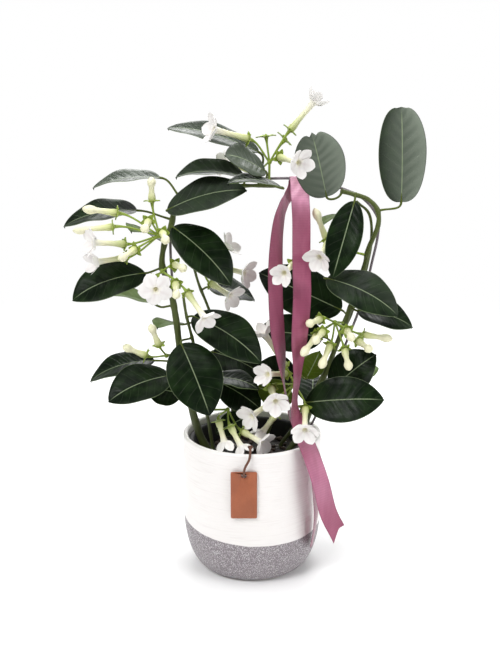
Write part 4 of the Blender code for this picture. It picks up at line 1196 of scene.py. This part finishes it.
@dataclass(frozen=True)
class Soil:
    """Crumbly soil with bark chips and white grit, closed round the stems."""

    top: float = 115.0
    bump: float = 1.6
    low: float = 7.9
    low_radius: float = 42.2
    radius: float = 57.2
    rings: int = 34
    sides: int = 110
    chips: int = 150

    def height(self, x: float, y: float) -> float:
        """The soil's surface at a place."""
        broad = self.bump * math.sin(0.21 * x + 0.6) * math.cos(0.17 * y - 0.4)
        fine = 0.7 * math.sin(1.3 * x + 2.1 * math.sin(0.9 * y)) * math.cos(1.1 * y + 1.7 * math.sin(0.8 * x))
        return self.top + broad + fine

    def build(self, material: bpy.types.Material) -> None:
        """Make the soil."""
        rng = random.Random(19)
        mesh = Mesh()
        up, side = Vector((0, 0, 1)), Vector((1, 0, 0))
        bottom = mesh.row(ring(Vector((0, 0, self.low)), up, side, self.low_radius, self.sides))
        rows = [bottom]
        for i in range(self.rings):
            radius = self.radius * (1 - i / self.rings)
            spots = ring(Vector(), up, side, radius, self.sides)
            rows.append(mesh.row([Vector((p.x, p.y, self.height(p.x, p.y) + rng.uniform(-0.35, 0.35))) for p in spots]))
        for first, second in zip(rows, rows[1:]):
            mesh.bridge(first, second)
        mesh.fan(rows[-1], Vector((0, 0, self.height(0, 0))))
        mesh.fan(bottom, Vector((0, 0, self.low)))
        for index in range(self.chips):
            self._chip(mesh, rng, index % 6 == 0)
        mesh.piece("soil_crumbs", material, ["soil"], "soil")

    def _chip(self, mesh: Mesh, rng: random.Random, grit: bool) -> None:
        """Add one chip of bark or grain of grit, half sunk in the surface."""
        reach = self.radius * math.sqrt(rng.random()) * 0.93
        angle = rng.uniform(0, TAU)
        x, y = reach * math.cos(angle), reach * math.sin(angle)
        size = rng.uniform(0.7, 1.3) if grit else rng.uniform(1.4, 3.2)
        along = Vector((rng.uniform(-1, 1), rng.uniform(-1, 1), rng.uniform(-0.4, 0.5))).normalized()
        centre = Vector((x, y, self.height(x, y) + 0.35 * size))
        spread = 0.9 if grit else 1.7
        curve = [centre + along * (size * spread * d) for d in (-1, -0.5, 0.1, 0.6, 1)]
        radii = [size * r * rng.uniform(0.8, 1.15) for r in (0.35, 0.75, 0.8, 0.6, 0.3)]
        tube(mesh, curve, radii, 7, bark=0.0 if grit else 1.0, grit=1.0 if grit else 0.0)


@dataclass(frozen=True)
class Hoop:
    """The coated wire hoop that carries the vines."""

    radius: float = 1.3
    foot: float = 84.0
    path: tuple[Triple, ...] = (
        (-46, 0, 120), (-54, 0, 139), (-67, 0, 187), (-74, 0, 243), (-78, 0, 294), (-79, 0, 333),
        (-75, 0, 366), (-62, 0, 384), (-35, 0, 390), (7, 0, 392), (45, 0, 392), (79, 0, 385),
        (105, 0, 374), (120, 0, 356), (121, 0, 338), (116, 0, 311), (108, 0, 274), (92, 0, 228),
        (73, 0, 176), (57, 0, 139), (46, 0, 120))

    def build(self, material: bpy.types.Material) -> None:
        """Make the hoop."""
        curve = spline([Vector(point) for point in self.path], 8)
        curve = [Vector((self.path[0][0], 0, self.foot))] + curve + [Vector((self.path[-1][0], 0, self.foot))]
        mesh = Mesh()
        tube(mesh, curve, [self.radius] * len(curve), 14)
        mesh.piece("hoop_wire", material, ["hoop"], "hoop_coating")


@dataclass(frozen=True)
class Ribbon:
    """The satin ribbon: a strip hung over the hoop, its tails over the pot's rim."""

    width: float = 17.5
    thickness: float = 0.4
    steps: int = 9
    across: int = 10
    slant: float = 8.5
    fold: float = 387.0
    rim: float = 112.0
    rest: float = 45.0
    path: tuple[tuple[float, float, float, float], ...] = (
        (59, -46, 36, 75), (62, -48, 55, 75), (63, -49, 78, 72), (60, -50, 109, 68), (56, -50, 134, 66),
        (51, -48, 147, 68), (42, -45, 160, 72), (35, -41, 178, 80), (31, -38, 200, 85), (28, -34, 225, 60),
        (24, -29, 250, 40), (22, -26, 280, 38), (22, -23, 310, 38), (24, -16, 342, 50), (28, -6, 362, 60),
        (34, 1, 375, 56), (41, 4.5, 384, 22), (44, 4.2, 391.5, 0), (44, 0, 394.6, 0), (44.5, -5, 391, 0),
        (45, -10, 378, 4), (46, -18, 356, 8), (46, -26, 320, 10), (47, -32, 283, 12), (45, -36, 245, 28),
        (43, -41, 212, 60), (40, -48, 182, 68), (46, -54, 160, 35), (56, -60, 137, 22), (65, -65, 111, 20),
        (73, -63, 79, 18), (83, -60, 57, 18))

    def build(self, material: bpy.types.Material) -> None:
        middle = spline([Vector(station[:3]) for station in self.path], self.steps)
        turns = spline([Vector((station[3], 0, 0)) for station in self.path], self.steps)
        grid = [2 * j / self.across - 1 for j in range(self.across + 1)]
        mesh = Mesh()
        top, bottom = [], []
        run = 0.0
        last = len(middle) - 1
        for index, (centre, axis, turned) in enumerate(zip(middle, tangents(middle), turns)):
            run += (centre - middle[index - 1]).length if index else 0.0
            angle = math.radians(turned.x)
            width = Vector((math.cos(angle), math.sin(angle), 0))
            side = (width - axis * width.dot(axis)).normalized()
            up = axis.cross(side).normalized()
            spots = []
            # painted highlight: the front strand near the fold and the tails near the pot's rim are marked for a paler
            # pink; the fold weight also shapes the wrinkles there
            bright = math.exp(-((centre.z - self.fold) / 17) ** 2) if centre.y < 0 else 0.0
            tail_highlight = 0.30 * math.exp(-((centre.z - self.rim) / 28) ** 2) if centre.x > self.rest else 0.0
            for v in grid:
                cut = -self.slant * v if index in (0, last) else 0.0
                cup = 0.5 * v * v * math.sin(0.045 * run) + 0.55 * bright * math.sin(4.5 * v + 0.4 * run)
                spots.append(centre + side * (v * self.width / 2) + up * cup + axis * cut)
            marks = {"across": grid, "run": run * MM, "painted_highlight": bright + tail_highlight}
            half = up * (self.thickness / 2)
            top.append(mesh.row([spot + half for spot in spots], **marks))
            bottom.append(mesh.row([spot - half for spot in spots], **marks))
        mesh.close(top, bottom)
        item = mesh.piece("ribbon_strip", material, ["ribbon"], "ribbon_satin")
        run * MM


@dataclass(frozen=True)
class Tag:
    """The leather tag and the knotted thong that holds it."""

    width: float = 25.0
    height: float = 47.0
    thickness: float = 1.8
    centre: Triple = (-8.0, -72.0, 100.5)
    corner: float = 1.5
    hole_radius: float = 2.4
    hole_drop: float = 3.5
    thong_radius: float = 1.2
    knot_place: Triple = (-2, -61.5, 144.5)
    path: tuple[Triple, ...] = (
        (-2, -48, 104), (-2, -48, 120), (-2, -53, 131), (-2, -59, 141), (-2, -64, 145.5), (-2, -70, 143.5),
        (-3, -74, 137), (-7, -75, 129), (-8, -75, 121.8), (-8, -72, 120.6))

    def outline(self, inset: float) -> list[Vector]:
        """Give the tag's rounded outline, drawn in by an inset."""
        points = []
        corner = self.corner
        for centre_x, centre_z, start in ((1, 1, 0), (-1, 1, 90), (-1, -1, 180), (1, -1, 270)):
            middle = Vector((centre_x * (self.width / 2 - corner), 0, centre_z * (self.height / 2 - corner)))
            for step in range(6):
                angle = math.radians(start + 18 * step)
                reach = corner - inset
                points.append(middle + Vector((math.cos(angle), 0, math.sin(angle))) * reach)
        return points

    def build(self, tan: bpy.types.Material, brown: bpy.types.Material) -> None:
        """Make the tag and its thong."""
        self._plate(tan)
        self._thong(brown)

    def _plate(self, material: bpy.types.Material) -> None:
        """Make the tag with softened edges and a round hole."""
        mesh = Mesh()
        place = Vector(self.centre)
        hole_at = Vector((0, 0, self.height / 2 - self.hole_drop))
        half = self.thickness / 2
        levels = [(-half, 0.35, 0.0), (-half + 0.3, 0.0, 1.0), (half - 0.3, 0.0, 1.0), (half, 0.35, 0.0)]
        outer, inner = [], []
        count = 24
        for depth, inset, edge in levels:
            shift = Vector((0, depth, 0))
            outer.append(mesh.row([place + shift + p for p in self.outline(inset)], edge=edge))
            radius = self.hole_radius + inset
            circle = [hole_at + Vector((math.cos(TAU * j / count), 0, math.sin(TAU * j / count))) * radius
                      for j in range(count)]
            inner.append(mesh.row([place + shift + p for p in circle], edge=edge))
        for rows in (outer, inner):
            for first, second in zip(rows, rows[1:]):
                mesh.bridge(first, second)
        for level in (0, -1):
            self._face(mesh, outer[level], inner[level], place + hole_at)
        mesh.piece("tag_plate", material, ["tag"], "leather")

    @staticmethod
    def _face(mesh: Mesh, outer: list[int], inner: list[int], hole: Vector) -> None:
        """Fill the flat face between the outline and the hole with matching fans."""
        def angle(number: int) -> float:
            """The way a point lies from the hole."""
            point = mesh.points[number] - hole
            return math.atan2(point.z, point.x) % TAU
        around = sorted(outer, key=angle)
        ringed = sorted(inner, key=angle)
        for first, second in zip(around, around[1:] + around[:1]):
            near = min(ringed, key=lambda n: abs((angle(n) - angle(first) + math.pi) % TAU - math.pi))
            after = min(ringed, key=lambda n: abs((angle(n) - angle(second) + math.pi) % TAU - math.pi))
            mesh.faces.append((first, second, near))
            place = ringed.index(near)
            while ringed[place] != after:
                following = (place + 1) % len(ringed)
                mesh.faces.append((second, ringed[following], ringed[place]))
                place = following

    def _thong(self, material: bpy.types.Material) -> None:
        """Make the thong with an overhand knot."""
        mesh = Mesh()
        curve = spline([Vector(point) for point in self.path], 8)
        tube(mesh, curve, [self.thong_radius] * len(curve), 12)
        knot = []
        for step in range(61):
            t = TAU * step / 60
            swing = Vector((math.sin(t) + 2 * math.sin(2 * t), -math.sin(3 * t), math.cos(t) - 2 * math.cos(2 * t)))
            knot.append(Vector(self.knot_place) + swing * 0.62)
        tube(mesh, knot, [0.8] * len(knot), 10)
        mesh.piece("thong_knotted", material, ["thong"], "leather")


@dataclass(frozen=True)
class Studio:
    """The pale floor, the soft lights and the camera."""

    distance: float = 0.85
    height: float = 0.445
    shift: float = -0.0022
    pitch: float = 13.5
    lens: float = 47.66
    wall: Triple = (1.0, 1.0, 1.0)
    ceiling: Triple = (0.30, 0.30, 0.31)
    dim: Triple = (0.16, 0.16, 0.16)
    floor_radius: float = 1.6

    def build(self) -> None:
        """Make the set."""
        bpy.context.scene.view_settings.view_transform = "Standard"
        self._camera()
        self._floor()
        self._light("key", (-1.0, -1.2, 1.7), (0.8, 0.8), 30.0)
        self._light("fill", (1.4, -1.0, 1.0), (1.0, 1.0), 14.0)
        self._light("back", (0.1, 1.4, 1.3), (1.4, 0.7), 22.0)
        self._light("above", (0.0, 0.0, 2.2), (1.2, 1.2), 26.0)
        self._room()

    def _room(self) -> None:
        """Surround the set with a pale wall behind the plant and a dim room in front of it."""
        room = Graph(bpy.data.worlds.new("pale_room"))
        way = room.node("ShaderNodeTexCoord", {}, {}, "Generated")
        rise = room.node("ShaderNodeSeparateXYZ", {}, {0: way}, "Z")
        depth = room.node("ShaderNodeSeparateXYZ", {}, {0: way}, "Y")
        far = room.mix(rise.step(0.10, 0.55), self.wall, self.ceiling)
        room.plug(room.shader.inputs["Color"], room.mix(depth.step(-0.30, 0.40), self.dim, far))
        bpy.context.scene.world = room.owner

    def _camera(self) -> None:
        """Place the camera where the photograph was taken from."""
        data = bpy.data.cameras.new("camera")
        data.lens = self.lens
        camera = bpy.data.objects.new("camera", data)
        camera.location = (self.shift, -self.distance, self.height)
        camera.rotation_euler = (math.radians(90 - self.pitch), 0, 0)
        bpy.context.scene.collection.objects.link(camera)
        bpy.context.scene.camera = camera

    def _floor(self) -> None:
        """Lay the floor under the pot, a pale disc that fades out at its edge."""
        mesh = bpy.data.meshes.new("floor")
        reach = self.floor_radius
        corners = [(-reach, -reach, 0), (reach, -reach, 0), (reach, reach, 0), (-reach, reach, 0)]
        mesh.from_pydata(corners, [], [(0, 1, 2, 3)])
        graph = Graph.material("floor_paper")
        away = graph.node("ShaderNodeVectorMath", {"operation": "LENGTH"}, {0: graph.place()}, "Value")
        graph.plug(graph.shader.inputs["Alpha"], away.step(0.95 * reach, 0.35 * reach))
        paper = graph.mix(graph.noise(3.0) * 0.2, (0.93, 0.93, 0.93), (0.90, 0.90, 0.90))
        mesh.materials.append(graph.finish(paper, 0.85))
        floor = bpy.data.objects.new("floor", mesh)
        bpy.context.scene.collection.objects.link(floor)

    def _light(self, name: str, place: Triple, size: tuple[float, float], power: float) -> None:
        """Hang one soft light that looks at the plant."""
        data = bpy.data.lights.new(name, "AREA")
        data.shape = "RECTANGLE"
        data.size, data.size_y = size
        data.energy = power
        light = bpy.data.objects.new(name, data)
        light.location = place
        light.rotation_euler = (Vector((0.0, 0.0, 0.24)) - Vector(place)).to_track_quat("-Z", "Y").to_euler()
        bpy.context.scene.collection.objects.link(light)


def main() -> None:
    """Build the studio, the pot and the plant."""
    logging.basicConfig(level=logging.INFO, format="%(message)s")
    Studio().build()
    pot = Pot()
    pot.build(GlazeFinish(pot.glaze_line * MM, pot.belly * MM).material(),
              PlainFinish("grow_pot_plastic", (0.004, 0.004, 0.004), (0.008, 0.007, 0.007), 240.0, 0.60, 0.10).material())
    Soil().build(SoilFinish().material())
    Hoop().build(PlainFinish("hoop_coating", (0.170, 0.140, 0.165), (0.240, 0.200, 0.225), 300.0, 0.35, 0.10).material())
    bark = StemFinish("vine_bark", (0.075, 0.100, 0.014), (0.032, 0.040, 0.009)).material()
    green = StemFinish("stalk_green", (0.275, 0.375, 0.044), (0.135, 0.190, 0.022)).material()
    for vine in VINES.values():
        joints = [leaf.root()[0] for leaf in LEAVES if leaf.vine == vine.node]
        joints += [umbel.root()[0] for umbel in UMBELS if umbel.vine == vine.node]
        vine.build(joints, bark)
    waxy = LeafFinish().material()
    for leaf in LEAVES:
        leaf.build(waxy)
    petal = FlowerFinish().material()
    for umbel in UMBELS:
        umbel.build(green, petal)
    Ribbon().build(SatinFinish().material())
    Tag().build(LeatherFinish("leather_tan", (0.360, 0.104, 0.042), (0.240, 0.064, 0.027)).material(),
                LeatherFinish("leather_brown", (0.135, 0.050, 0.026), (0.070, 0.026, 0.015)).material())


if __name__ == "__main__":
    main()
